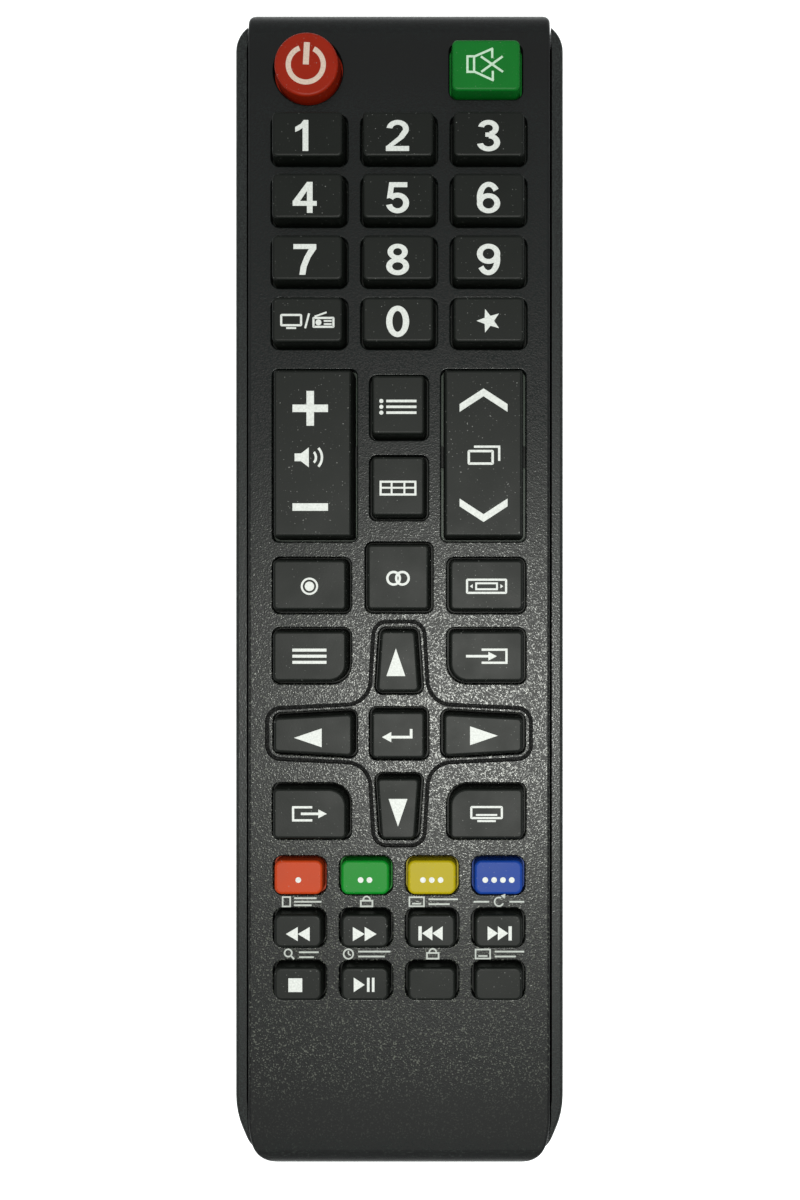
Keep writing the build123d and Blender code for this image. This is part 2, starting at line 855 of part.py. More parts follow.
def contact_plate(x0, x1, tail):
    """Contact plate standing against the upper end of the bay, with a tail through the board."""
    low = cell_level - plate_height / 2
    plate = block(x0, x1, bay_top - plate_thickness, bay_top, low, low + plate_height)
    if tail is None:
        return plate
    half = tail_width / 2
    back = bay_top - plate_thickness
    return plate + block(tail - half, tail + half, back, bay_top, cell_level, board_high)


def case_screw():
    """Pan-head screw up through the bay's ceiling into the face's boss."""
    y = screw_place()
    tip = face_level - thread_rest - thread_clearance
    head_low = ceiling_low - screw_head_height
    head = rod(0, y, screw_head_radius, head_low, ceiling_low)
    head = fillet(head.edges().filter_by(GeomType.CIRCLE).sort_by(Axis.Z)[0], screw_head_height / 3)
    shank = rod(0, y, screw_radius, ceiling_low, tip)
    shank = chamfer(shank.edges().filter_by(GeomType.CIRCLE).sort_by(Axis.Z)[-1], screw_radius / 2)
    half = screw_slot_width / 2
    body = head + shank
    for length, width in ((screw_head_radius, half), (half, screw_head_radius)):
        reach_x = min(length, screw_head_radius - half)
        reach_y = min(width, screw_head_radius - half)
        slot_top = head_low + screw_slot_depth
        body -= block(-reach_x, reach_x, y - reach_y, y + reach_y, head_low - 1, slot_top)
    return [body]


def write(name, solids):
    """One STEP file for one piece or one group of like pieces."""
    shapes = [solid for shape in solids for solid in shape.solids()]
    whole = shapes[0] if len(shapes) == 1 else Compound(children=shapes)
    export_step(whole, f"parts/{name}.step")


def main():
    """Build every piece and write it."""
    os.makedirs("parts", exist_ok=True)
    holes, small = key_holes()
    for name, hole in holes.items():
        write(name, key_solids(name, hole, small))
    write("front_cover", front_cover(holes))
    write("rear_cover", rear_cover())
    write("battery_door", battery_door())
    write("keypad_mat", keypad_mat(holes))
    write("circuit_board", circuit_board())
    write("ir_emitter", infrared_emitter())
    write("ir_window", infrared_window())
    write("controller_chip", controller_chip())
    write("ceramic_resonator", ceramic_resonator())
    write("storage_capacitor", storage_capacitor())
    write("board_resistors", board_resistors())
    outer = bay_half - plate_margin
    write("bridge_contact", [turned(contact_plate(-outer, outer, None))])
    write("positive_contact", [contact_plate(-outer, -plate_margin, -cell_offset)])
    write("negative_contact", [contact_plate(plate_margin, outer, cell_offset)])
    spring = contact_spring()
    write("battery_springs", [spring, turned(spring)])
    write("battery_left", [left_cell()])
    write("battery_right", [turned(left_cell())])
    write("case_screw", case_screw())


if __name__ == "__main__":
    main()
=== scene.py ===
import json
import math

import bmesh
import bpy
from bpy.props import FloatProperty, FloatVectorProperty, PointerProperty
from mathutils import Matrix, Vector


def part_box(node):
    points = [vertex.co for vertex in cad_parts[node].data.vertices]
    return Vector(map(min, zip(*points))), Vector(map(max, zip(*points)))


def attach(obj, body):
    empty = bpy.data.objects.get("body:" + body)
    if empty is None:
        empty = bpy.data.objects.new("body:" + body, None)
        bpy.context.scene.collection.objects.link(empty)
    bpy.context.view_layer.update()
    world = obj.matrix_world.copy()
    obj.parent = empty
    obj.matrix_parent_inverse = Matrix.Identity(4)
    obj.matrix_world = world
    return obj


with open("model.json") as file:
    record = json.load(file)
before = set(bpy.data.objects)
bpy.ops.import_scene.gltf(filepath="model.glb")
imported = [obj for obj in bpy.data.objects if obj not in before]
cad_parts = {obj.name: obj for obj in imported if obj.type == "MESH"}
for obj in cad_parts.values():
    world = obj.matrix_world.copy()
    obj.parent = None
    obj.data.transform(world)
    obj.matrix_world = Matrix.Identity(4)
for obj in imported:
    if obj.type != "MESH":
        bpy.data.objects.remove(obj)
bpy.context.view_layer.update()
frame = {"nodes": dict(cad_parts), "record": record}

bl_info = {
    "name": "Remote control finishes",
    "version": (1, 0, 0),
    "blender": (4, 5, 0),
    "location": "View3D > Sidebar > Remote",
    "description": "Dresses a television remote control: covers, rubber keys, printed signs and a stage",
    "category": "Object",
}

MM = 0.001
COLOUR_KEYS = ("red_key", "green_key", "yellow_key", "blue_key")

# Levels of the grain's noise, which runs from 0 to 1 and has its middle near 0.5.
PIT_LEVEL = 0.49
PEAK_LEVEL = 0.59
TIP_LEVEL = 0.68

# Corners of a square, how many sides a dot has and the degrees of an arc's steps.
CORNERS = ((-1, -1), (1, -1), (1, 1), (-1, 1))
DISC_SIDES = 40
ARC_STEP = 7

# How much of the grain's height its fine noise makes, how much wider its coarse noise is, how dark its
# pits are next to the plastic (with the lighter peaks, a painted glitter), how dark the groove is painted
# (painted shade in the groove), and how much of the grain the smooth ends keep (their colour darkens with
# it, a painted shade).
FINE_SHARE = 0.7
COARSE_WIDTH = 3.0
PIT_SHADE = 0.6
GROOVE_PAINTED_SHADE = 0.25
END_GRAIN = 0.15

# The mat is this much lighter than the keys, and their dust has this colour.
MAT_SHADE = 1.6
DUST = (0.30, 0.30, 0.28)

PLASTIC_IOR = 1.26
RUBBER_IOR = 1.23
EMITTER_IOR = 1.54
WINDOW_IOR = 1.40

# The camera's sensor in millimetres, and the nearest thing that it shows, in metres.
SENSOR_WIDTH = 36.0
CLIP_START = 0.01

# How far each pointer of the arrow pad is turned, in degrees, and lies off its place, in mm.
PAD_SIGNS = {
    "up_key": (0, -0.3, -0.2),
    "left_key": (90, -0.3, -0.4),
    "down_key": (180, 0.0, -0.5),
    "right_key": (270, -0.3, -0.1),
}

# How far the pointers lie from the pad's middle, and a cover mark from the key above it, in mm.
PAD_REACH_ACROSS = 12.4
PAD_REACH_ALONG = 10.45
MARK_SHIFT = (0.1, -3.76)


def length(name, description, default):
    """A size that the sidebar shows as a length."""
    return FloatProperty(name=name, description=description, default=default, min=0, unit="LENGTH",
                         precision=5)


def coordinate(name, description, default):
    """A place along one axis, which may be below nought."""
    return FloatProperty(name=name, description=description, default=default, unit="LENGTH", precision=5)


def share(name, description, default):
    """A value between nought and one."""
    return FloatProperty(name=name, description=description, default=default, min=0, max=1)


def tint(name, owner, default):
    """The colour of something, which the sidebar shows as a swatch."""
    return FloatVectorProperty(name=name, description=f"Colour of {owner}", default=default,
                               subtype="COLOR", min=0, max=1)


class RemotePrint(bpy.types.PropertyGroup):
    """Sizes of the signs printed on the keys and on the cover."""

    ink_sink: length("Ink depth", "How far the ink reaches into the surface", 0.02 * MM)
    ink_rise: length("Ink height", "How far the ink stands out of the surface", 0.02 * MM)


class RemoteColours(bpy.types.PropertyGroup):
    """Colours of the plastics, rubbers and inks."""

    cover: tint("Cover", "the front cover", (0.0018, 0.0024, 0.0023))
    # The rear cover and the door are the cover's plastic painted about three times lighter: painted light on
    # the side rails and the underside.
    tray: tint("Tray", "the rear cover and the battery door", (0.0065, 0.0075, 0.0072))
    key: tint("Keys", "the plain keys", (0.0022, 0.0032, 0.0022))
    power_key: tint("Power key", "the power key", (0.223, 0.010, 0.0010))
    mute_key: tint("Mute key", "the mute key", (0.002, 0.115, 0.012))
    red_key: tint("Red key", "the red key", (0.387, 0.037, 0.005))
    green_key: tint("Green key", "the green key", (0.001, 0.175, 0.012))
    yellow_key: tint("Yellow key", "the yellow key", (0.358, 0.280, 0.001))
    blue_key: tint("Blue key", "the blue key", (0.004, 0.035, 0.225))
    ink: tint("Ink", "the signs on the keys", (0.60, 0.605, 0.575))
    power_ink: tint("Power ink", "the sign on the power key", (0.55, 0.42, 0.34))
    mute_ink: tint("Mute ink", "the sign on the mute key", (0.47, 0.62, 0.47))
    cover_ink: tint("Cover ink", "the signs on the cover", (0.42, 0.44, 0.41))


class RemoteInner(bpy.types.PropertyGroup):
    """Colours of the parts inside and of the infrared end."""

    board: tint("Board", "the board's laminate", (0.014, 0.04, 0.016))
    board_weave: tint("Board weave", "the board's fibres", (0.006, 0.018, 0.008))
    chip: tint("Chip", "the controller chip", (0.02, 0.02, 0.021))
    resonator: tint("Resonator", "the ceramic resonator", (0.50, 0.22, 0.05))
    capacitor: tint("Capacitor", "the capacitor's sleeve", (0.02, 0.02, 0.05))
    capacitor_stripe: tint("Capacitor stripe", "the sleeve's stripe", (0.55, 0.57, 0.60))
    resistor: tint("Resistors", "the chip resistors", (0.03, 0.03, 0.03))
    tin: tint("Tin", "tinned legs, end caps and springs", (0.66, 0.65, 0.62))
    emitter: tint("Emitter", "the infrared emitter's resin", (0.62, 0.60, 0.80))
    window: tint("Window", "the infrared window", (0.020, 0.002, 0.005))
    nickel: tint("Nickel", "the contact plates", (0.68, 0.67, 0.63))
    zinc: tint("Zinc", "the case screw", (0.55, 0.55, 0.56))
    cell: tint("Cells", "the battery cells' sleeve", (0.045, 0.075, 0.12))
    cell_scuff: tint("Cell scuffs", "the sleeve where it is scuffed", (0.10, 0.13, 0.16))
    cell_band: tint("Cell band", "the pale band at the cells' positive end", (0.52, 0.54, 0.56))
    cell_cap: tint("Cell caps", "the cells' bare ends", (0.66, 0.66, 0.64))


class RemoteGrain(bpy.types.PropertyGroup):
    """Size, depth and gloss of the moulded surfaces."""

    grain_size: length("Grain size", "Width of one pit of the spark-eroded grain", 0.21 * MM)
    grain_depth: length("Grain depth", "Depth of the spark-eroded grain", 0.036 * MM)
    # The peaks are painted this much lighter, and the pits darker, as a painted glitter.
    painted_peak_glint: FloatProperty(name="Peak shine", default=3.8, min=1,
                              description="How much lighter the grain's peaks are than the plastic")
    peak_roughness: share("Peak roughness", "Roughness of the grain's worn peaks", 0.18)
    pit_roughness: share("Pit roughness", "Roughness of the grain's pits", 0.40)
    rubber_roughness: share("Rubber roughness", "Roughness of the keys", 0.44)
    # Lighter tips over the lower part: partly wear from hands, partly a painted highlight where the lamp's
    # reflection falls.
    worn_and_lit_tip: tint("Worn tips", "the grain's tips where hands have polished them", (0.100, 0.102, 0.086))
    wear_and_light_end: coordinate("Wear reach", "Place along the remote at which the wear begins", 25 * MM)
    wear_and_light_fade: length("Wear fade", "Length over which the wear grows", 40 * MM)
    # Where the grain fades its bump goes, and its lighter peaks go with it, so both ends are painted darker:
    # painted shade.
    smooth_shaded_end: length("Grain reach", "Distance from the middle at which the grain fades", 68 * MM)
    smooth_shaded_fade: length("Grain fade", "Length over which the grain runs out", 6 * MM)
    wall_start: length("End wall", "Distance from the middle at which the end walls begin", 77 * MM)
    wall_fade: length("End wall fade", "Length over which the end walls' grain grows", 3 * MM)
    # The groove is painted darker between these two depths: painted shade in the groove.
    groove_shade_floor: length("Groove floor", "Depth under the face at which the groove is fully dark", 0.75 * MM)
    groove_shade_lip: length("Groove lip", "Depth under the face at which the groove begins to darken", 0.40 * MM)


class RemoteStage(bpy.types.PropertyGroup):
    """Camera, lamp, light from all round and floor."""

    camera_x: coordinate("Camera X", "Camera's place across", 0.010)
    camera_y: coordinate("Camera Y", "Camera's place along", -0.0054)
    camera_height: length("Camera height", "Height of the camera over the floor", 0.2192)
    lens: FloatProperty(name="Lens", description="Focal length in millimetres", default=42.0, min=1)
    shift_x: FloatProperty(name="Shift X", description="Lens shift across", default=-0.0575)
    shift_y: FloatProperty(name="Shift Y", description="Lens shift along", default=0.0211)
    lamp_x: coordinate("Lamp X", "Lamp's place across", 0.009)
    lamp_y: coordinate("Lamp Y", "Lamp's place along", -0.042)
    lamp_height: length("Lamp height", "Height of the lamp over the floor", 0.40)
    lamp_size: length("Lamp size", "Side of the soft lamp overhead", 0.06)
    lamp_power: FloatProperty(name="Lamp power", description="Power of the soft lamp overhead",
                              default=1.46, min=0)
    lamp_colour: tint("Lamp colour", "the soft lamp overhead", (0.98, 1.0, 0.94))
    sky_level: FloatProperty(name="Sky level", description="Level of the light from all round",
                             default=0.38, min=0)
    sky_colour: tint("Sky colour", "the light from all round", (0.82, 0.92, 1.0))
    floor_reach: length("Floor reach", "Distance from the middle to the floor's edge", 2.0)
    floor_drop: length("Floor drop", "Gap between the remote and the floor", 0.2 * MM)
    floor_colour: tint("Floor colour", "the paper floor", (0.82, 0.82, 0.82))
    floor_glow: share("Floor glow", "How much whiter the floor shows", 0.62)


class Finish:
    """A material in the making: one shader, its output and the object's own coordinates."""

    def __init__(self, name, colour, roughness):
        self.material = bpy.data.materials.new(name)
        self.material.use_nodes = True
        self.nodes = self.material.node_tree.nodes
        self.links = self.material.node_tree.links
        self.nodes.clear()
        self.shader = self.nodes.new("ShaderNodeBsdfPrincipled")
        self.output = self.nodes.new("ShaderNodeOutputMaterial")
        self.links.new(self.shader.outputs["BSDF"], self.output.inputs["Surface"])
        self.set("Base Color", (*colour, 1))
        self.set("Roughness", roughness)
        self.place = self.nodes.new("ShaderNodeTexCoord").outputs["Object"]
        self.axes = None

    def set(self, socket, value):
        """Sets one value of the shader for the whole surface."""
        self.shader.inputs[socket].default_value = value

    def feed(self, socket, source):
        """Lets a pattern drive one value of the shader."""
        self.links.new(source, self.shader.inputs[socket])

    def noise(self, size, detail=2.0, stretch=(1, 1, 1)):
        """Cloudy pattern whose blots are about as wide as the given size."""
        scale = self.nodes.new("ShaderNodeVectorMath")
        scale.operation = "MULTIPLY"
        scale.inputs[1].default_value = [part / size for part in stretch]
        self.links.new(self.place, scale.inputs[0])
        texture = self.nodes.new("ShaderNodeTexNoise")
        texture.inputs["Scale"].default_value = 1.0
        texture.inputs["Detail"].default_value = detail
        self.links.new(scale.outputs[0], texture.inputs["Vector"])
        return texture.outputs["Fac"]

    def axis(self, letter):
        """One coordinate of the surface, in metres."""
        if self.axes is None:
            split = self.nodes.new("ShaderNodeSeparateXYZ")
            self.links.new(self.place, split.inputs[0])
            self.axes = split.outputs
        return self.axes[letter]

    def sum(self, operation, first, second, third=None):
        """A sum on one value, such as ADD, MULTIPLY or COMPARE."""
        node = self.nodes.new("ShaderNodeMath")
        node.operation = operation
        for socket, value in zip(node.inputs, (first, second, third)):
            if isinstance(value, bpy.types.NodeSocket):
                self.links.new(value, socket)
            elif value is not None:
                socket.default_value = value
        return node.outputs[0]

    def spread(self, source, low, high, to_low, to_high):
        """Turns a value between low and high into one between two others."""
        node = self.nodes.new("ShaderNodeMapRange")
        self.links.new(source, node.inputs["Value"])
        for socket, value in zip(("From Min", "From Max", "To Min", "To Max"), (low, high, to_low, to_high)):
            node.inputs[socket].default_value = value
        return node.outputs["Result"]

    def mix(self, factor, first, second):
        """Blends two colours, or a pattern and a colour."""
        node = self.nodes.new("ShaderNodeMix")
        node.data_type = "RGBA"
        self.links.new(factor, node.inputs[0])
        for socket, value in ((node.inputs[6], first), (node.inputs[7], second)):
            if isinstance(value, bpy.types.NodeSocket):
                self.links.new(value, socket)
            else:
                socket.default_value = (*value, 1)
        return node.outputs[2]

    def bump(self, height, depth, strength=1.0):
        """Raises the surface by a pattern; strength may be a pattern too."""
        node = self.nodes.new("ShaderNodeBump")
        node.inputs["Distance"].default_value = depth
        if isinstance(strength, bpy.types.NodeSocket):
            self.links.new(strength, node.inputs["Strength"])
        else:
            node.inputs["Strength"].default_value = strength
        self.links.new(height, node.inputs["Height"])
        self.feed("Normal", node.outputs["Normal"])

    def cover(self, *names):
        """Puts this material alone on CAD pieces."""
        for name in names:
            slots = frame["nodes"][name].data.materials
            slots.clear()
            slots.append(self.material)


def shade(colour, factor):
    """A colour made darker or lighter."""
    return [min(1, part * factor) for part in colour]


def face_level():
    """Height of the flat face that the keys stand out of."""
    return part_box("front_cover")[1].z


def grained_plastic(name, colour, grain, fade=True):
    """Dark moulded plastic with a fine spark-eroded grain that glitters under the lamp, with a painted
    glitter of lighter peaks and darker pits.

    With fade, it runs out at both ends, where its colour is painted darker as painted shade; towards the
    lower end its tips are painted lighter, partly wear and partly a painted highlight; and the groove is
    painted dark as painted shade.
    """
    finish = Finish(name, colour, grain.pit_roughness)
    fine = finish.noise(grain.grain_size, 1.0)
    coarse = finish.noise(grain.grain_size * COARSE_WIDTH, 1.0)
    fine_part = finish.sum("MULTIPLY", fine, FINE_SHARE)
    height = finish.sum("ADD", fine_part, finish.sum("MULTIPLY", coarse, 1 - FINE_SHARE))
    reach = 1.0
    if fade:
        along = finish.sum("ABSOLUTE", finish.axis("Y"), 0)
        ends = finish.spread(along, grain.smooth_shaded_end, grain.smooth_shaded_end + grain.smooth_shaded_fade, 1.0, END_GRAIN)
        # Below the face the groove is painted dark, a painted shade, and loses its grain.
        floor = face_level() - grain.groove_shade_floor
        lip = face_level() - grain.groove_shade_lip
        outside_groove_shade = finish.spread(finish.axis("Z"), floor, lip, 0.0, 1.0)
        reach = finish.sum("MULTIPLY", ends, outside_groove_shade)
        end_walls = finish.spread(along, grain.wall_start, grain.wall_start + grain.wall_fade, 0.0, 1.0)
        outside_groove_shade = finish.sum("MAXIMUM", outside_groove_shade, end_walls)
        # Tips painted lighter below this line: partly wear, partly a painted highlight.
        held_and_lit = finish.spread(finish.axis("Y"), grain.wear_and_light_end, grain.wear_and_light_end - grain.wear_and_light_fade, 0.0, 1.0)
        tips = finish.spread(fine, PEAK_LEVEL, TIP_LEVEL, 0.0, 1.0)
        worn = finish.sum("MULTIPLY", tips, finish.sum("MULTIPLY", ends, held_and_lit))
    finish.bump(height, grain.grain_depth, reach)
    # Lighter painted peaks and darker pits: a painted glitter, beside the real one of their roughness.
    peaks = finish.spread(fine, PIT_LEVEL, PEAK_LEVEL, 0.0, 1.0)
    # Painted shade: the peaks' lighter colour fades at both ends, so the ends are darker; the end walls keep
    # it.
    if fade:
        peaks = finish.sum("MULTIPLY", peaks, finish.sum("MAXIMUM", ends, end_walls))
    skin = finish.mix(peaks, shade(colour, PIT_SHADE), shade(colour, grain.painted_peak_glint))
    rough = finish.spread(peaks, 0.0, 1.0, grain.pit_roughness, grain.peak_roughness)
    if fade:
        # Lighter tips: partly wear, partly a painted highlight.
        skin = finish.mix(worn, skin, grain.worn_and_lit_tip)
        # Painted shade: the groove is painted darker than the plastic.
        skin = finish.mix(outside_groove_shade, shade(colour, GROOVE_PAINTED_SHADE), skin)
        rough = finish.sum("ADD", rough, finish.spread(outside_groove_shade, 0.0, 1.0, 0.4, 0.0))
    finish.feed("Base Color", skin)
    finish.feed("Roughness", rough)
    finish.set("IOR", PLASTIC_IOR)
    return finish


def silicone(name, colour, grain):
    """Matt silicone rubber with a dusty bloom, soft smudges and a few specks of dust."""
    finish = Finish(name, colour, grain.rubber_roughness)
    skin = finish.noise(0.16 * MM, 2.0)
    finish.bump(skin, 0.006 * MM)
    smudges = finish.noise(4.5 * MM, 3.0)
    bloom = finish.mix(finish.spread(smudges, 0.35, 0.75, 0.0, 0.3), colour, shade(colour, 1.4))
    dust = finish.spread(finish.noise(0.22 * MM, 0.0), 0.80, 0.86, 0.0, 0.5)
    finish.feed("Base Color", finish.mix(dust, bloom, DUST))
    rough = grain.rubber_roughness
    finish.feed("Roughness", finish.spread(smudges, 0.3, 0.7, rough - 0.03, rough + 0.03))
    finish.set("IOR", RUBBER_IOR)
    return finish


def ink_finish(name, colour):
    """Screen-printed ink, a little uneven, with tiny pinholes."""
    finish = Finish(name, colour, 0.5)
    cover = finish.noise(0.25 * MM, 2.0)
    uneven = finish.spread(cover, 0.3, 0.7, 0, 1)
    finish.feed("Base Color", finish.mix(uneven, shade(colour, 0.82), shade(colour, 1.08)))
    finish.bump(finish.noise(0.12 * MM, 1.0), 0.004 * MM)
    return finish


def plated_metal(name, colour, roughness, stretch=(1, 1, 1)):
    """Plated metal with fine marks along the direction in which it was drawn or rolled."""
    finish = Finish(name, colour, roughness)
    finish.set("Metallic", 1.0)
    marks = finish.noise(0.25 * MM, 3.0, stretch)
    finish.feed("Roughness", finish.spread(marks, 0.3, 0.7, roughness - 0.07, roughness + 0.10))
    finish.bump(marks, 0.006 * MM)
    stains = finish.noise(2.5 * MM, 3.0)
    dull = finish.spread(stains, 0.45, 0.8, 0, 0.5)
    finish.feed("Base Color", finish.mix(dull, colour, shade(colour, 0.75)))
    return finish


def tin_where(finish, mask, body_colour, tin):
    """Turns the part of a piece that the mask marks into tinned metal."""
    finish.feed("Base Color", finish.mix(mask, body_colour, tin))
    finish.feed("Metallic", mask)


def in_order(parts, where):
    """Sorts a mesh's corners or faces by their places, so that each run gives the same mesh."""
    for number, part in enumerate(sorted(parts, key=lambda part: tuple(where(part)))):
        part.index = number
    parts.sort()


class Ink:
    """Thin printed strokes round one centre, in millimetres, each a hair over the one before it."""

    HAIR = 0.0015

    def __init__(self, sizes):
        self.mesh = bmesh.new()
        self.low = -sizes.ink_sink / MM
        self.high = sizes.ink_rise / MM
        self.strokes = 0

    def thick(self):
        """Height of the next stroke's middle and its thickness."""
        self.strokes += 1
        high = self.high + self.strokes * self.HAIR
        return (self.low + high) / 2, high - self.low

    def raise_faces(self, verts):
        """Makes a flat outline as thick as the ink."""
        middle, height = self.thick()
        faces = list({face for vert in verts for face in vert.link_faces})
        flat = list({vert for face in faces for vert in face.verts})
        bmesh.ops.translate(self.mesh, verts=flat, vec=(0, 0, middle - height / 2))
        grown = bmesh.ops.extrude_face_region(self.mesh, geom=faces)["geom"]
        top = [part for part in grown if isinstance(part, bmesh.types.BMVert)]
        bmesh.ops.translate(self.mesh, verts=top, vec=(0, 0, height))

    def bar(self, start, end, width):
        """A straight stroke with square ends."""
        middle, height = self.thick()
        run = Vector(end) - Vector(start)
        centre = (Vector(start) + Vector(end)) / 2
        turn = Matrix.Rotation(math.atan2(run.y, run.x), 4, "Z")
        size = Matrix.Diagonal((run.length, width, height, 1))
        bmesh.ops.create_cube(self.mesh, size=1, matrix=Matrix.Translation((*centre, middle)) @ turn @ size)

    def level(self, y, start, end, width):
        """A straight stroke from side to side."""
        self.bar((start, y), (end, y), width)

    def disc(self, centre, radius):
        """A round dot."""
        middle, height = self.thick()
        bmesh.ops.create_cone(self.mesh, cap_ends=True, segments=DISC_SIDES, radius1=radius, radius2=radius,
                              depth=height, matrix=Matrix.Translation((*centre, middle)))

    def arc(self, centre, radius, width, start=0.0, sweep=360.0):
        """Part of a ring, or a whole one, from a starting angle on, in degrees."""
        middle, height = self.thick()
        section = [(x * width / 2, z * height / 2) for x, z in CORNERS]
        turn = Matrix.Rotation(math.radians(start), 3, "Z")
        verts = [self.mesh.verts.new(turn @ Vector((radius + x, 0, 0)) + Vector((*centre, middle + z)))
                 for x, z in section]
        edges = [self.mesh.edges.new((verts[n], verts[n - 1])) for n in range(4)]
        whole = sweep >= 360
        bmesh.ops.spin(self.mesh, geom=verts + edges, cent=(*centre, 0), axis=(0, 0, 1), dvec=(0, 0, 0),
                       angle=math.radians(sweep), steps=max(6, round(sweep / ARC_STEP)), use_merge=whole)
        if not whole:
            ends = [edge for edge in self.mesh.edges if edge.is_boundary]
            bmesh.ops.holes_fill(self.mesh, edges=ends, sides=4)

    def oval(self, centre, half, thick, start=0.0, sweep=360.0):
        """Part of an upright oval: half its size, and how thick it is at its sides and at its ends."""
        older = set(self.mesh.verts)
        self.arc((0, 0), 1.0, 0.5, start, sweep)
        for vert in self.mesh.verts:
            if vert not in older:
                outer = vert.co.xy.length > 1
                reach = [half[n] if outer else half[n] - thick[n] for n in (0, 1)]
                way = vert.co.xy.normalized()
                vert.co.x = centre[0] + way.x * reach[0]
                vert.co.y = centre[1] + way.y * reach[1]

    def polygon(self, *points):
        """A filled shape with straight sides."""
        verts = [self.mesh.verts.new((x, y, 0)) for x, y in points]
        self.mesh.faces.new(verts)
        self.raise_faces(verts)

    def triangle(self, tip, width, depth, degrees):
        """A filled pointer whose tip looks up, turned by so many degrees."""
        turn = Matrix.Rotation(math.radians(degrees), 2)
        corners = [Vector((0, 0)), Vector((-width / 2, -depth)), Vector((width / 2, -depth))]
        self.polygon(*[Vector(tip) + turn @ corner for corner in corners])

    def frame(self, centre, size, line, corner=0.0):
        """An outline of a rectangle, with rounded corners if asked."""
        x, y = size[0] / 2, size[1] / 2
        verts = [self.mesh.verts.new((centre[0] + a * x, centre[1] + b * y, 0)) for a, b in CORNERS]
        face = self.mesh.faces.new(verts)
        face.normal_update()
        if corner:
            rounded = bmesh.ops.bevel(self.mesh, geom=verts, offset=corner, offset_type="OFFSET",
                                      segments=4, profile=0.5, affect="VERTICES", material=-1)
            face = rounded["verts"][0].link_faces[0]
        rim = bmesh.ops.inset_region(self.mesh, faces=[face], use_boundary=True, use_even_offset=True,
                                     thickness=line)["faces"]
        bmesh.ops.delete(self.mesh, geom=[face], context="FACES_ONLY")
        self.raise_faces([vert for part in rim for vert in part.verts])

    def star(self, radius, inner):
        """A star with five points."""
        rim = bmesh.ops.create_circle(self.mesh, cap_ends=True, radius=radius, segments=10,
                                      matrix=Matrix.Rotation(math.radians(90), 4, "Z"))["verts"]
        bmesh.ops.scale(self.mesh, verts=rim[1::2], vec=(inner, inner, 1))
        self.raise_faces(rim)

    def chevron(self, width, height, stroke, degrees):
        """An open pointer with two arms."""
        x, y = width / 2, height / 2
        corners = [(0, y), (x, stroke - y), (x, -y), (0, y - stroke), (-x, -y), (-x, stroke - y)]
        turn = Matrix.Rotation(math.radians(degrees), 2)
        self.polygon(*[turn @ Vector(corner) for corner in corners])

    def turn(self, degrees):
        """Turns all strokes so far round the centre."""
        bmesh.ops.rotate(self.mesh, cent=(0, 0, 0), verts=self.mesh.verts,
                         matrix=Matrix.Rotation(math.radians(degrees), 3, "Z"))

    def place(self, name, centre, body, slot, finish):
        """Ends the strokes as one piece, set on a surface at the centre."""
        bmesh.ops.transform(self.mesh, verts=self.mesh.verts,
                            matrix=Matrix.Translation(centre) @ Matrix.Scale(MM, 4))
        bmesh.ops.recalc_face_normals(self.mesh, faces=self.mesh.faces)
        in_order(self.mesh.verts, lambda vert: vert.co)
        in_order(self.mesh.faces, lambda face: face.calc_center_median())
        data = bpy.data.meshes.new(name)
        self.mesh.to_mesh(data)
        self.mesh.free()
        add_piece(name, data, body, finish)


def add_piece(name, data, body, finish):
    """Adds a mesh to the scene as a piece that rides on a body."""
    data.materials.clear()
    data.materials.append(finish.material)
    piece = bpy.data.objects.new(name, data)
    bpy.context.scene.collection.objects.link(piece)
    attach(piece, body)


def slot_of(node):
    """The record's material slot of a CAD node."""
    for part in frame["record"]["subparts"]:
        if part["node"] == node:
            return part["material_slot"]
    raise ValueError(f"no subpart for {node}")


def key_top(node, dx=0.0, dy=0.0):
    """Middle of a key's top, moved by some millimetres."""
    low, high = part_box(node)
    return Vector(((low.x + high.x) / 2 + dx * MM, (low.y + high.y) / 2 + dy * MM, high.z))


def print_on(node, draw, finish, dx=0.0, dy=0.0):
    """Prints one sign on a key."""
    ink = Ink(bpy.context.scene.remote_print)
    draw(ink)
    ink.place(f"{node}_sign", key_top(node, dx, dy), node, slot_of(node), finish)


def draw_zero(ink):
    ink.oval((0, 0), (1.62, 2.21), (0.88, 0.74))


def draw_one(ink):
    ink.polygon((-0.31, -2.16), (0.50, -2.16), (0.50, 2.21), (-0.16, 2.21), (-0.55, 1.68), (-1.35, 1.22),
                (-1.35, 0.52), (-0.80, 0.76), (-0.31, 1.10))


def draw_two(ink):
    ink.oval((0, 0.93), (1.57, 1.28), (0.82, 0.68), -30, 202)
    ink.polygon((1.47, 0.48), (0.64, 0.72), (0.10, -0.10), (-1.66, -1.54), (-1.66, -2.16), (-0.70, -1.52),
                (0.88, -0.34))
    ink.level(-1.81, -1.66, 1.62, 0.70)


def draw_three(ink):
    ink.oval((-0.02, 1.06), (1.46, 1.15), (0.83, 0.66), -78, 246)
    ink.oval((0, -0.95), (1.63, 1.26), (0.85, 0.68), -170, 258)
    ink.level(0.14, -0.45, 0.35, 0.60)


def draw_four(ink):
    ink.bar((0.70, -2.16), (0.70, 2.21), 0.80)
    ink.level(-0.82, -1.71, 1.69, 0.68)
    ink.polygon((-1.71, -1.10), (-0.76, -0.62), (0.42, 1.10), (0.42, 2.21), (0.32, 2.21), (-1.71, -0.52))


def draw_five(ink):
    ink.oval((-0.02, -0.76), (1.63, 1.45), (0.84, 0.70), -168, 312)
    ink.polygon((-1.52, -0.14), (-1.18, 2.16), (1.36, 2.16), (1.36, 1.46), (-0.54, 1.46), (-0.72, 0.02))


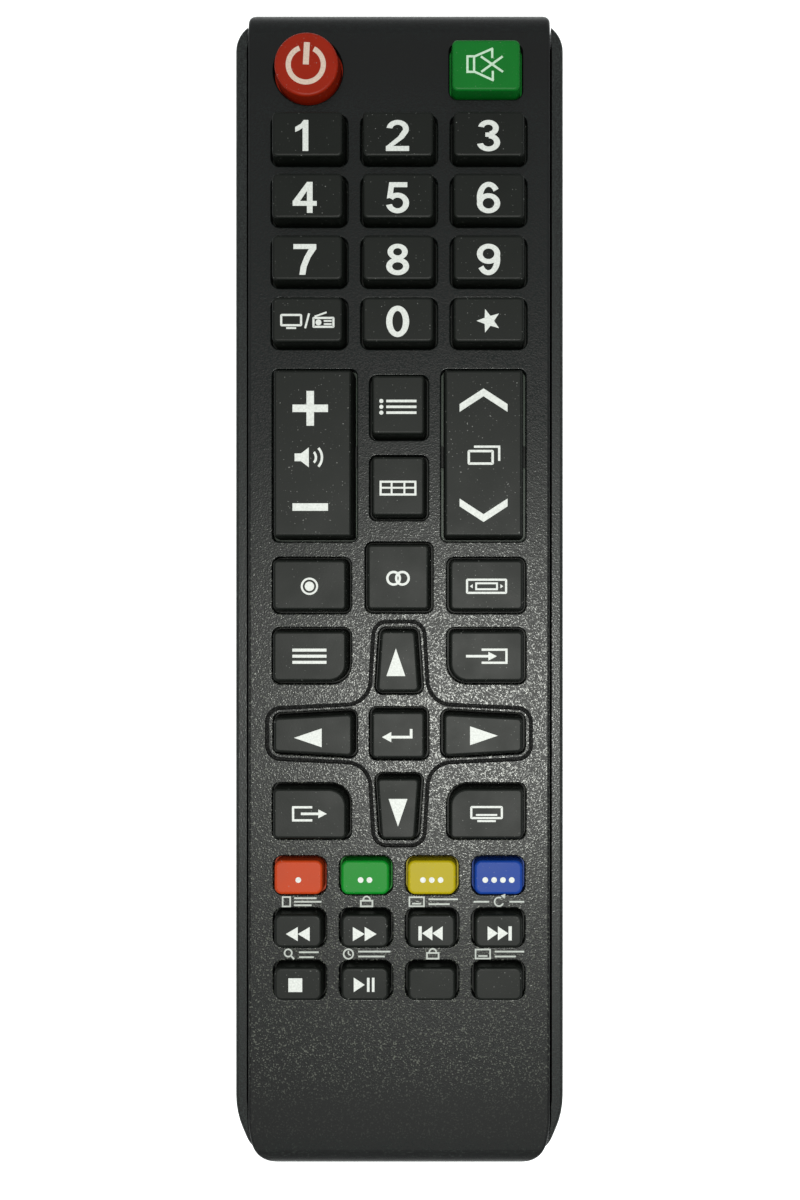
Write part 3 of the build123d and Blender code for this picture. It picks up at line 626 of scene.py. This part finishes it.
def draw_six(ink):
    ink.oval((0, -0.80), (1.64, 1.41), (0.82, 0.67))
    ink.oval((0.02, 0), (1.67, 2.21), (0.84, 0.70), 34, 166)


def draw_seven(ink):
    ink.level(1.82, -1.60, 1.62, 0.70)
    ink.polygon((-0.76, -2.16), (0.08, -2.16), (0.28, -1.00), (0.82, 0.30), (1.62, 1.48), (0.58, 1.48),
                (-0.06, 0.35), (-0.58, -0.95))


def draw_eight(ink):
    ink.oval((0, 1.08), (1.42, 1.13), (0.80, 0.62))
    ink.oval((0, -0.96), (1.61, 1.25), (0.84, 0.68))


def draw_nine(ink):
    draw_six(ink)
    ink.turn(180)


def draw_power(ink):
    ink.arc((0, 0), 2.48, 0.72, 114, 312)
    ink.bar((0, 0), (0, 3.15), 0.84)
    ink.turn(-3)


def draw_mute(ink):
    line = 0.31
    ink.frame((-2.15, 0), (1.25, 2.5), line)
    ink.bar((-1.68, 1.05), (1.00, 2.22), line)
    ink.bar((-1.68, -1.05), (1.10, -2.32), line)
    ink.bar((0.88, 2.20), (0.88, 0.85), line)
    ink.bar((0.96, -0.95), (0.96, -2.30), line)
    ink.bar((-0.72, 1.08), (2.40, -1.10), line)
    ink.bar((2.34, 1.08), (-0.66, -1.10), line)


def draw_screen_and_radio(ink):
    ink.frame((-2.25, 0.10), (3.1, 1.75), 0.30, 0.25)
    ink.level(-1.02, -2.95, -1.55, 0.26)
    ink.bar((-0.28, -1.05), (0.28, 1.05), 0.28)
    ink.frame((2.30, -0.22), (3.1, 1.55), 0.30, 0.20)
    ink.disc((1.60, -0.22), 0.42)
    ink.level(-0.02, 2.35, 3.45, 0.24)
    ink.level(-0.46, 2.35, 3.45, 0.24)
    ink.bar((1.05, 0.60), (2.75, 1.20), 0.24)


def draw_favourite(ink):
    ink.star(1.75, 0.42)


def draw_list(ink):
    for y in (-0.82, 0.0, 0.82):
        ink.disc((-2.35, y), 0.29)
        ink.level(y, -1.65, 2.60, 0.36)


def draw_grid(ink):
    ink.frame((0, 0), (5.2, 2.1), 0.30)
    ink.level(0.05, -2.5, 2.5, 0.26)
    for x in (-0.9, 0.9):
        ink.bar((x, -0.95), (x, 0.95), 0.26)


def draw_two_rings(ink):
    for x in (-0.62, 0.62):
        ink.arc((x, 0), 0.88, 0.34)


def draw_record(ink):
    ink.arc((0, 0), 1.08, 0.28)
    ink.disc((0, 0), 0.66)


def draw_picture_size(ink):
    ink.frame((0, 0), (5.8, 2.15), 0.30, 0.25)
    ink.frame((0, 0), (3.2, 1.10), 0.26)
    ink.triangle((-2.35, 0), 0.6, 0.4, 90)
    ink.triangle((2.35, 0), 0.6, 0.4, 270)


def draw_menu(ink):
    for y in (-0.86, 0.0, 0.86):
        ink.level(y, -2.4, 2.4, 0.42)


def draw_input(ink):
    ink.level(0.92, -0.7, 2.95, 0.32)
    ink.level(-0.92, -0.7, 2.95, 0.32)
    ink.bar((2.80, -0.9), (2.80, 0.9), 0.32)
    ink.level(0, -2.9, 0.3, 0.36)
    ink.triangle((1.45, 0), 1.25, 1.20, 270)


def draw_return(ink):
    ink.bar((1.85, 0.95), (1.85, -0.36), 0.38)
    ink.level(-0.20, 2.04, -1.0, 0.38)
    ink.triangle((-2.25, -0.20), 1.45, 1.30, 90)


def draw_leave(ink):
    ink.level(0.92, 0.4, -2.45, 0.32)
    ink.level(-0.92, 0.4, -2.45, 0.32)
    ink.bar((-2.30, -0.9), (-2.30, 0.9), 0.32)
    ink.level(0, -1.2, 1.3, 0.36)
    ink.triangle((2.45, 0), 1.25, 1.20, 270)


def draw_screen(ink):
    ink.frame((0, 0.18), (4.6, 1.85), 0.30, 0.25)
    ink.level(-1.02, -1.3, 1.3, 0.28)
    ink.level(-0.16, -1.5, 1.5, 0.26)


def draw_volume(ink):
    ink.bar((0, 4.45), (0, 9.35), 1.06)
    ink.level(6.9, -2.5, 2.5, 1.06)
    ink.level(-7.0, -2.5, 2.5, 1.06)
    ink.polygon((-2.2, 0.55), (-1.3, 0.55), (-0.2, 1.40), (-0.2, -1.40), (-1.3, -0.55), (-2.2, -0.55))
    ink.arc((-0.3, 0), 1.10, 0.34, -42, 84)
    ink.arc((-0.3, 0), 1.95, 0.34, -42, 84)


def draw_channel(ink):
    ink.chevron(6.75, 3.30, 1.10, 0)
    bmesh.ops.translate(ink.mesh, verts=ink.mesh.verts, vec=(0, 7.75, 0))
    kept = set(ink.mesh.verts)
    ink.chevron(6.75, 3.30, 1.10, 180)
    bmesh.ops.translate(ink.mesh, verts=[v for v in ink.mesh.verts if v not in kept], vec=(0, -7.75, 0))
    ink.frame((-0.40, -0.30), (3.7, 2.1), 0.34, 0.25)
    ink.level(1.20, -1.35, 2.35, 0.32)
    ink.bar((2.20, 1.15), (2.20, -0.80), 0.32)


def draw_pointer(ink):
    ink.triangle((0, 1.95), 2.65, 3.90, 0)


def draw_dots(count):
    """Returns the drawing of a short row of dots."""
    def draw(ink):
        for place in range(count):
            ink.disc(((place - (count - 1) / 2) * 1.25, 0), 0.40)
    return draw


def draw_fast(degrees, stop):
    """Returns the drawing of two pointers, with a bar in front of them if asked."""
    side = 1 if degrees == 270 else -1

    def draw(ink):
        reach = 1.45 if stop else 1.68
        ink.triangle((side * reach, 0), 2.0, reach, degrees)
        ink.triangle((0, 0), 2.0, reach, degrees)
        if stop:
            ink.bar((side * (reach + 0.28), -1.0), (side * (reach + 0.28), 1.0), 0.46)
    return draw


def draw_stop(ink):
    ink.level(0, -0.98, 0.98, 1.94)


def draw_play_pause(ink):
    ink.triangle((0.10, 0), 2.05, 1.55, 270)
    ink.bar((0.60, -1.0), (0.60, 1.0), 0.36)
    ink.bar((1.30, -1.0), (1.30, 1.0), 0.36)


def draw_page(ink):
    ink.frame((-2.0, 0), (1.3, 1.55), 0.22)
    for y, x in ((0.5, 2.3), (0.0, 3.0), (-0.5, 1.6)):
        ink.level(y, -0.9, x, 0.24)


def draw_hold(ink):
    ink.frame((0, -0.25), (1.9, 1.05), 0.24)
    ink.arc((0, 0.25), 0.50, 0.22, 0, 180)


def draw_caption(ink):
    ink.frame((-2.3, 0), (2.3, 1.5), 0.22)
    ink.level(-0.28, -2.95, -1.65, 0.22)
    ink.level(0.35, -0.6, 3.6, 0.24)
    ink.level(-0.35, -0.6, 2.4, 0.24)


def draw_clock(ink):
    ink.arc((-2.6, 0), 0.68, 0.22)
    ink.bar((-2.6, 0), (-2.6, 0.45), 0.18)
    ink.bar((-2.6, 0), (-2.25, -0.18), 0.18)
    ink.level(0.35, -1.2, 3.4, 0.24)
    ink.level(-0.35, -1.2, 2.6, 0.24)


def draw_zoom(ink):
    ink.arc((-1.75, 0.15), 0.52, 0.22)
    ink.bar((-1.35, -0.25), (-0.9, -0.72), 0.24)
    ink.level(0.25, -0.2, 2.6, 0.24)
    ink.level(-0.45, -0.2, 1.9, 0.24)


def draw_loop(ink):
    ink.arc((0, 0), 0.62, 0.22, 60, 280)
    ink.triangle((0.80, 0.45), 0.75, 0.60, 200)
    ink.level(0, -3.6, -1.4, 0.24)
    ink.level(0, 1.5, 3.6, 0.24)


class REMOTE_OT_covers(bpy.types.Operator):
    """Give both shells and the battery door their moulded plastic"""

    bl_idname = "remote.covers"
    bl_label = "Covers"
    bl_options = {"REGISTER", "UNDO"}

    def execute(self, context):
        grain = context.scene.remote_grain
        colours = context.scene.remote_colours
        grained_plastic("cover_grain", colours.cover, grain).cover("front_cover")
        # The rear cover and the door are painted lighter than the cover: painted light.
        grained_plastic("tray_grain", colours.tray, grain, fade=False).cover("rear_cover")
        grained_plastic("door_grain", colours.tray, grain, fade=False).cover("battery_door")
        return {"FINISHED"}


class REMOTE_OT_keys(bpy.types.Operator):
    """Give the keys, rockers and mat their silicone rubber"""

    bl_idname = "remote.keys"
    bl_label = "Keys"
    bl_options = {"REGISTER", "UNDO"}

    def execute(self, context):
        grain = context.scene.remote_grain
        colours = context.scene.remote_colours
        coloured = ("power_key", "mute_key", *COLOUR_KEYS)
        keys = [name for name in frame["nodes"] if name.endswith(("_key", "rocker")) or "_key_" in name]
        black = [name for name in keys if name not in coloured]
        silicone("black_silicone", colours.key, grain).cover(*black)
        for name in coloured:
            silicone(f"{name}_silicone", getattr(colours, name), grain).cover(name)
        silicone("mat_silicone", shade(colours.key, MAT_SHADE), grain).cover("keypad_mat")
        return {"FINISHED"}


class REMOTE_OT_inner_parts(bpy.types.Operator):
    """Finish the board, its parts, the contacts, the cells, the screw and the infrared end"""

    bl_idname = "remote.inner_parts"
    bl_label = "Inner parts"
    bl_options = {"REGISTER", "UNDO"}

    def execute(self, context):
        colours = context.scene.remote_inner
        for dress in (self.board, self.chip, self.resonator, self.capacitor, self.resistors,
                      self.infrared_end, self.contacts):
            dress(colours)
        for node, flip in (("battery_left", False), ("battery_right", True)):
            self.cell(node, flip, colours)
        return {"FINISHED"}

    def board(self, colours):
        """Green laminate with the weave of its fibres."""
        laminate = Finish("board_laminate", colours.board, 0.45)
        fibres = laminate.noise(0.5 * MM, 4.0, (1, 0.15, 1))
        weave = laminate.spread(fibres, 0.3, 0.7, 0, 1)
        laminate.feed("Base Color", laminate.mix(weave, colours.board_weave, colours.board))
        laminate.bump(fibres, 0.01 * MM)
        laminate.cover("circuit_board")

    def chip(self, colours):
        """Black body with tinned legs along its two long sides."""
        low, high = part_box("controller_chip")
        leg_reach = 1.31 * MM
        chip = Finish("chip_epoxy", colours.chip, 0.55)
        from_middle = chip.sum("ABSOLUTE", chip.sum("SUBTRACT", chip.axis("Y"), (low.y + high.y) / 2), 0)
        legs = chip.sum("GREATER_THAN", from_middle, (high.y - low.y) / 2 - leg_reach)
        tin_where(chip, legs, colours.chip, colours.tin)
        chip.bump(chip.noise(0.1 * MM), 0.01 * MM)
        chip.cover("controller_chip")

    def resonator(self, colours):
        """Dipped ceramic with tinned legs next to the board."""
        leg_length = 0.8 * MM
        resonator = Finish("resonator_coat", colours.resonator, 0.4)
        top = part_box("ceramic_resonator")[1].z
        legs = resonator.sum("GREATER_THAN", resonator.axis("Z"), top - leg_length)
        tin_where(resonator, legs, colours.resonator, colours.tin)
        resonator.bump(resonator.noise(0.6 * MM), 0.03 * MM)
        resonator.cover("ceramic_resonator")

    def capacitor(self, colours):
        """Shrunk sleeve with a pale stripe, and tinned leads at its lower end."""
        low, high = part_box("storage_capacitor")
        lead_length = 1.2 * MM
        stripe_width = 1.0 * MM
        capacitor = Finish("capacitor_sleeve", colours.capacitor, 0.3)
        leads = capacitor.sum("LESS_THAN", capacitor.axis("Y"), low.y + lead_length)
        stripe = capacitor.sum("GREATER_THAN", capacitor.axis("X"), high.x - stripe_width)
        sleeve = capacitor.mix(stripe, colours.capacitor, colours.capacitor_stripe)
        tin_where(capacitor, leads, sleeve, colours.tin)
        capacitor.bump(capacitor.noise(0.8 * MM), 0.01 * MM)
        capacitor.cover("storage_capacitor")

    def resistors(self, colours):
        """A row of small black blocks with tinned end caps."""
        pitch = 3.0 * MM
        half_length = 1.0 * MM
        bare_half = 0.6 * MM
        resistor = Finish("resistor_ceramic", colours.resistor, 0.4)
        along = resistor.sum("SUBTRACT", resistor.axis("X"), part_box("board_resistors")[0].x)
        step = resistor.sum("SUBTRACT", resistor.sum("WRAP", along, pitch, 0.0), half_length)
        caps = resistor.sum("GREATER_THAN", resistor.sum("ABSOLUTE", step, 0), bare_half)
        tin_where(resistor, caps, colours.resistor, colours.tin)
        resistor.bump(resistor.noise(0.15 * MM), 0.008 * MM)
        resistor.cover("board_resistors")

    def infrared_end(self, colours):
        """Clear emitter behind a dark polished window."""
        resin = Finish("emitter_resin", colours.emitter, 0.06)
        resin.set("Transmission Weight", 0.9)
        resin.set("IOR", EMITTER_IOR)
        resin.bump(resin.noise(1.5 * MM, 1.0), 0.01 * MM)
        resin.cover("ir_emitter")

        window = Finish("window_plastic", colours.window, 0.10)
        window.set("Transmission Weight", 0.10)
        window.set("IOR", WINDOW_IOR)
        smears = window.noise(0.7 * MM, 4.0)
        window.feed("Roughness", window.spread(smears, 0.4, 0.8, 0.08, 0.20))
        window.cover("ir_window")

    def contacts(self, colours):
        """Plated plates, springs and screw."""
        plates = plated_metal("contact_nickel", colours.nickel, 0.30, (1, 1, 0.1))
        plates.cover("bridge_contact", "negative_contact", "positive_contact")
        plated_metal("spring_nickel", colours.tin, 0.26).cover("battery_springs")
        plated_metal("screw_zinc", colours.zinc, 0.35).cover("case_screw")

    def cell(self, node, flip, colours):
        """Dark sleeve with a pale band at its positive end and bare caps."""
        low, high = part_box(node)
        start, end = (high.y, low.y) if flip else (low.y, high.y)
        negative_end = 0.012
        band_start = 0.74
        positive_end = 0.972
        cell = Finish(f"{node}_sleeve", colours.cell, 0.28)
        along = cell.spread(cell.axis("Y"), start, end, 0.0, 1.0)
        band = cell.sum("GREATER_THAN", along, band_start)
        scuffs = cell.spread(cell.noise(1.2 * MM, 4.0), 0.5, 0.8, 0.0, 0.35)
        body = cell.mix(scuffs, colours.cell, colours.cell_scuff)
        sleeve = cell.mix(band, body, colours.cell_band)
        negative = cell.sum("LESS_THAN", along, negative_end)
        bare = cell.sum("ADD", negative, cell.sum("GREATER_THAN", along, positive_end))
        cell.feed("Base Color", cell.mix(bare, sleeve, colours.cell_cap))
        cell.feed("Metallic", cell.sum("MAXIMUM", cell.sum("MULTIPLY", band, 0.8), bare))
        cell.feed("Roughness", cell.spread(cell.noise(3 * MM, 3.0), 0.3, 0.7, 0.22, 0.36))
        cell.bump(cell.noise(2.2 * MM, 1.0), 0.01 * MM)
        cell.cover(node)


class REMOTE_OT_digits(bpy.types.Operator):
    """Print the digits on the number keys"""

    bl_idname = "remote.digits"
    bl_label = "Digits"
    bl_options = {"REGISTER", "UNDO"}

    def execute(self, context):
        finish = ink_finish("digit_ink", context.scene.remote_colours.ink)
        drawings = (draw_zero, draw_one, draw_two, draw_three, draw_four,
                    draw_five, draw_six, draw_seven, draw_eight, draw_nine)
        for digit, draw in enumerate(drawings):
            across = -0.33 if digit in (1, 4, 7) else -0.05
            print_on(f"number_key_{digit}", draw, finish, across, -0.28)
        return {"FINISHED"}


class REMOTE_OT_signs(bpy.types.Operator):
    """Print the power, mute, rocker, arrow and transport signs"""

    bl_idname = "remote.signs"
    bl_label = "Common signs"
    bl_options = {"REGISTER", "UNDO"}

    def execute(self, context):
        colours = context.scene.remote_colours
        finish = ink_finish("sign_ink", colours.ink)
        print_on("power_key", draw_power, ink_finish("power_ink", colours.power_ink), -0.05, -0.1)
        print_on("mute_key", draw_mute, ink_finish("mute_ink", colours.mute_ink), 0.0, 0.1)
        print_on("volume_rocker", draw_volume, finish, -0.3, -0.6)
        print_on("channel_rocker", draw_channel, finish, 0.0, -0.3)
        for key, (degrees, dx, dy) in PAD_SIGNS.items():
            self.pointer(key, degrees, dx, dy, finish)
        print_on("rewind_key", draw_fast(90, False), finish, 0.0, -0.4)
        print_on("forward_key", draw_fast(270, False), finish, 0.0, -0.4)
        print_on("previous_key", draw_fast(90, True), finish, 0.1, -0.3)
        print_on("next_key", draw_fast(270, True), finish, -0.1, -0.3)
        print_on("stop_key", draw_stop, finish, -0.35, -0.15)
        print_on("play_pause_key", draw_play_pause, finish, -0.1, -0.1)
        return {"FINISHED"}

    def pointer(self, key, degrees, dx, dy, finish):
        """Prints a pointer that looks away from the pad's middle, moved by some millimetres."""
        hub = key_top("enter_key")
        reach = PAD_REACH_ACROSS if degrees in (90, 270) else PAD_REACH_ALONG
        step = Matrix.Rotation(math.radians(degrees), 3, "Z") @ Vector((0, reach * MM, 0))
        ink = Ink(bpy.context.scene.remote_print)
        draw_pointer(ink)
        ink.turn(degrees)
        place = Vector((hub.x + step.x + dx * MM, hub.y + step.y + dy * MM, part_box(key)[1].z))
        ink.place(f"{key}_sign", place, key, slot_of(key), finish)


class REMOTE_OT_pictograms(bpy.types.Operator):
    """Print plain pictograms on the keys that start a function"""

    bl_idname = "remote.pictograms"
    bl_label = "Pictograms"
    bl_options = {"REGISTER", "UNDO"}

    def execute(self, context):
        finish = ink_finish("pictogram_ink", context.scene.remote_colours.ink)
        for key, draw, dy in (
            ("tv_radio_key", draw_screen_and_radio, -0.2),
            ("favourite_key", draw_favourite, -0.2),
            ("record_list_key", draw_list, -0.3),
            ("guide_key", draw_grid, -0.3),
            ("sound_mode_key", draw_two_rings, -0.2),
            ("record_key", draw_record, -0.2),
            ("aspect_key", draw_picture_size, -0.2),
            ("menu_key", draw_menu, 0.0),
            ("source_key", draw_input, 0.0),
            ("enter_key", draw_return, -0.1),
            ("exit_key", draw_leave, 0.0),
            ("display_key", draw_screen, 0.0),
        ):
            print_on(key, draw, finish, 0.0, dy)
        for count, key in enumerate(COLOUR_KEYS, 1):
            print_on(key, draw_dots(count), finish, 0.0, -0.35)
        return {"FINISHED"}


class REMOTE_OT_cover_marks(bpy.types.Operator):
    """Print the small grey marks on the front cover, under the small keys"""

    bl_idname = "remote.cover_marks"
    bl_label = "Cover marks"
    bl_options = {"REGISTER", "UNDO"}

    def execute(self, context):
        finish = ink_finish("cover_mark_ink", context.scene.remote_colours.cover_ink)
        for number, (key, draw) in enumerate((
            ("red_key", draw_page),
            ("green_key", draw_hold),
            ("yellow_key", draw_caption),
            ("blue_key", draw_loop),
            ("rewind_key", draw_zoom),
            ("forward_key", draw_clock),
            ("previous_key", draw_hold),
            ("next_key", draw_caption),
        ), 1):
            ink = Ink(context.scene.remote_print)
            draw(ink)
            middle = key_top(key, *MARK_SHIFT)
            middle.z = face_level()
            ink.place(f"cover_mark_{number}", middle, "root", "cover_plastic", finish)
        return {"FINISHED"}


class REMOTE_OT_stage(bpy.types.Operator):
    """Add the floor, the lamp, the light from all round and the camera"""

    bl_idname = "remote.stage"
    bl_label = "Stage"
    bl_options = {"REGISTER", "UNDO"}

    def execute(self, context):
        stage = context.scene.remote_stage
        self.floor(stage)
        self.sky(context.scene, stage)
        self.lamp(context.scene, stage)
        self.camera(context.scene, stage)
        context.scene.view_settings.view_transform = "Standard"
        return {"FINISHED"}

    def lamp(self, scene, stage):
        """A soft square lamp that looks down."""
        lamp = bpy.data.lights.new("overhead_lamp", "AREA")
        lamp.shape = "SQUARE"
        lamp.size = stage.lamp_size
        lamp.energy = stage.lamp_power
        lamp.color = stage.lamp_colour
        holder = bpy.data.objects.new("overhead_lamp", lamp)
        holder.location = (stage.lamp_x, stage.lamp_y, stage.lamp_height)
        scene.collection.objects.link(holder)

    def camera(self, scene, stage):
        """A camera that looks straight down on the face."""
        camera = bpy.data.cameras.new("camera")
        camera.lens = stage.lens
        camera.sensor_width = SENSOR_WIDTH
        camera.shift_x = stage.shift_x
        camera.shift_y = stage.shift_y
        camera.clip_start = CLIP_START
        view = bpy.data.objects.new("camera", camera)
        view.location = (stage.camera_x, stage.camera_y, stage.camera_height)
        scene.collection.objects.link(view)
        scene.camera = view

    def floor(self, stage):
        """White paper that keeps the shadow and that is seen from above only."""
        mesh = bmesh.new()
        bmesh.ops.create_grid(mesh, x_segments=1, y_segments=1, size=stage.floor_reach)
        data = bpy.data.meshes.new("floor")
        mesh.to_mesh(data)
        mesh.free()
        finish = Finish("floor_paper", stage.floor_colour, 0.9)
        nodes = finish.nodes
        links = finish.links
        glow = nodes.new("ShaderNodeEmission")
        links.new(finish.sum("MULTIPLY", self.seen(nodes, links), stage.floor_glow), glow.inputs["Strength"])
        paper = nodes.new("ShaderNodeAddShader")
        links.new(finish.shader.outputs["BSDF"], paper.inputs[0])
        links.new(glow.outputs[0], paper.inputs[1])
        side = nodes.new("ShaderNodeNewGeometry")
        clear = nodes.new("ShaderNodeBsdfTransparent")
        one_sided = nodes.new("ShaderNodeMixShader")
        links.new(side.outputs["Backfacing"], one_sided.inputs[0])
        links.new(paper.outputs[0], one_sided.inputs[1])
        links.new(clear.outputs[0], one_sided.inputs[2])
        links.new(one_sided.outputs[0], finish.output.inputs["Surface"])
        data.materials.append(finish.material)
        floor = bpy.data.objects.new("floor", data)
        floor.location = (0, 0, -stage.floor_drop)
        bpy.context.scene.collection.objects.link(floor)

    def seen(self, nodes, links):
        """One for what the camera, reflections and clear pieces show, and nought for other light."""
        path = nodes.new("ShaderNodeLightPath")
        seen = path.outputs["Is Camera Ray"]
        for ray in ("Is Glossy Ray", "Is Transmission Ray"):
            either = nodes.new("ShaderNodeMath")
            either.operation = "MAXIMUM"
            links.new(seen, either.inputs[0])
            links.new(path.outputs[ray], either.inputs[1])
            seen = either.outputs[0]
        return seen

    def sky(self, scene, stage):
        """Even light from all round, which shows as white."""
        world = bpy.data.worlds.new("studio")
        world.use_nodes = True
        nodes = world.node_tree.nodes
        links = world.node_tree.links
        back = nodes["Background"]
        seen = self.seen(nodes, links)
        level = nodes.new("ShaderNodeMapRange")
        level.inputs["To Min"].default_value = stage.sky_level
        level.inputs["To Max"].default_value = 1.0
        links.new(seen, level.inputs["Value"])
        links.new(level.outputs["Result"], back.inputs["Strength"])
        colour = nodes.new("ShaderNodeMix")
        colour.data_type = "RGBA"
        colour.inputs[6].default_value = (*stage.sky_colour, 1)
        colour.inputs[7].default_value = (1, 1, 1, 1)
        links.new(seen, colour.inputs[0])
        links.new(colour.outputs[2], back.inputs["Color"])
        scene.world = world


STEPS = (
    REMOTE_OT_covers,
    REMOTE_OT_keys,
    REMOTE_OT_inner_parts,
    REMOTE_OT_digits,
    REMOTE_OT_signs,
    REMOTE_OT_pictograms,
    REMOTE_OT_cover_marks,
    REMOTE_OT_stage,
)


class REMOTE_PT_sidebar(bpy.types.Panel):
    """Lists the steps that dress the remote control"""

    bl_label = "Remote control"
    bl_idname = "REMOTE_PT_sidebar"
    bl_space_type = "VIEW_3D"
    bl_region_type = "UI"
    bl_category = "Remote"

    def draw(self, context):
        scene = context.scene
        for group in GROUPS:
            settings = getattr(scene, group)
            box = self.layout.box()
            for name in settings.__annotations__:
                box.prop(settings, name)
        for step in STEPS:
            self.layout.operator(step.bl_idname)


GROUPS = {
    "remote_print": RemotePrint,
    "remote_colours": RemoteColours,
    "remote_inner": RemoteInner,
    "remote_grain": RemoteGrain,
    "remote_stage": RemoteStage,
}


def register():
    """Adds the settings, the steps and the panel."""
    for name, group in GROUPS.items():
        bpy.utils.register_class(group)
        setattr(bpy.types.Scene, name, PointerProperty(type=group))
    for step in STEPS:
        bpy.utils.register_class(step)
    bpy.utils.register_class(REMOTE_PT_sidebar)


def unregister():
    """Takes them away again."""
    bpy.utils.unregister_class(REMOTE_PT_sidebar)
    for step in reversed(STEPS):
        bpy.utils.unregister_class(step)
    for name, group in GROUPS.items():
        delattr(bpy.types.Scene, name)
        bpy.utils.unregister_class(group)


def main():
    """Dresses the remote control."""
    register()
    bpy.ops.remote.covers()
    bpy.ops.remote.keys()
    bpy.ops.remote.inner_parts()
    bpy.ops.remote.digits()
    bpy.ops.remote.signs()
    bpy.ops.remote.pictograms()
    bpy.ops.remote.cover_marks()
    bpy.ops.remote.stage()


if __name__ == "__main__":
    main()
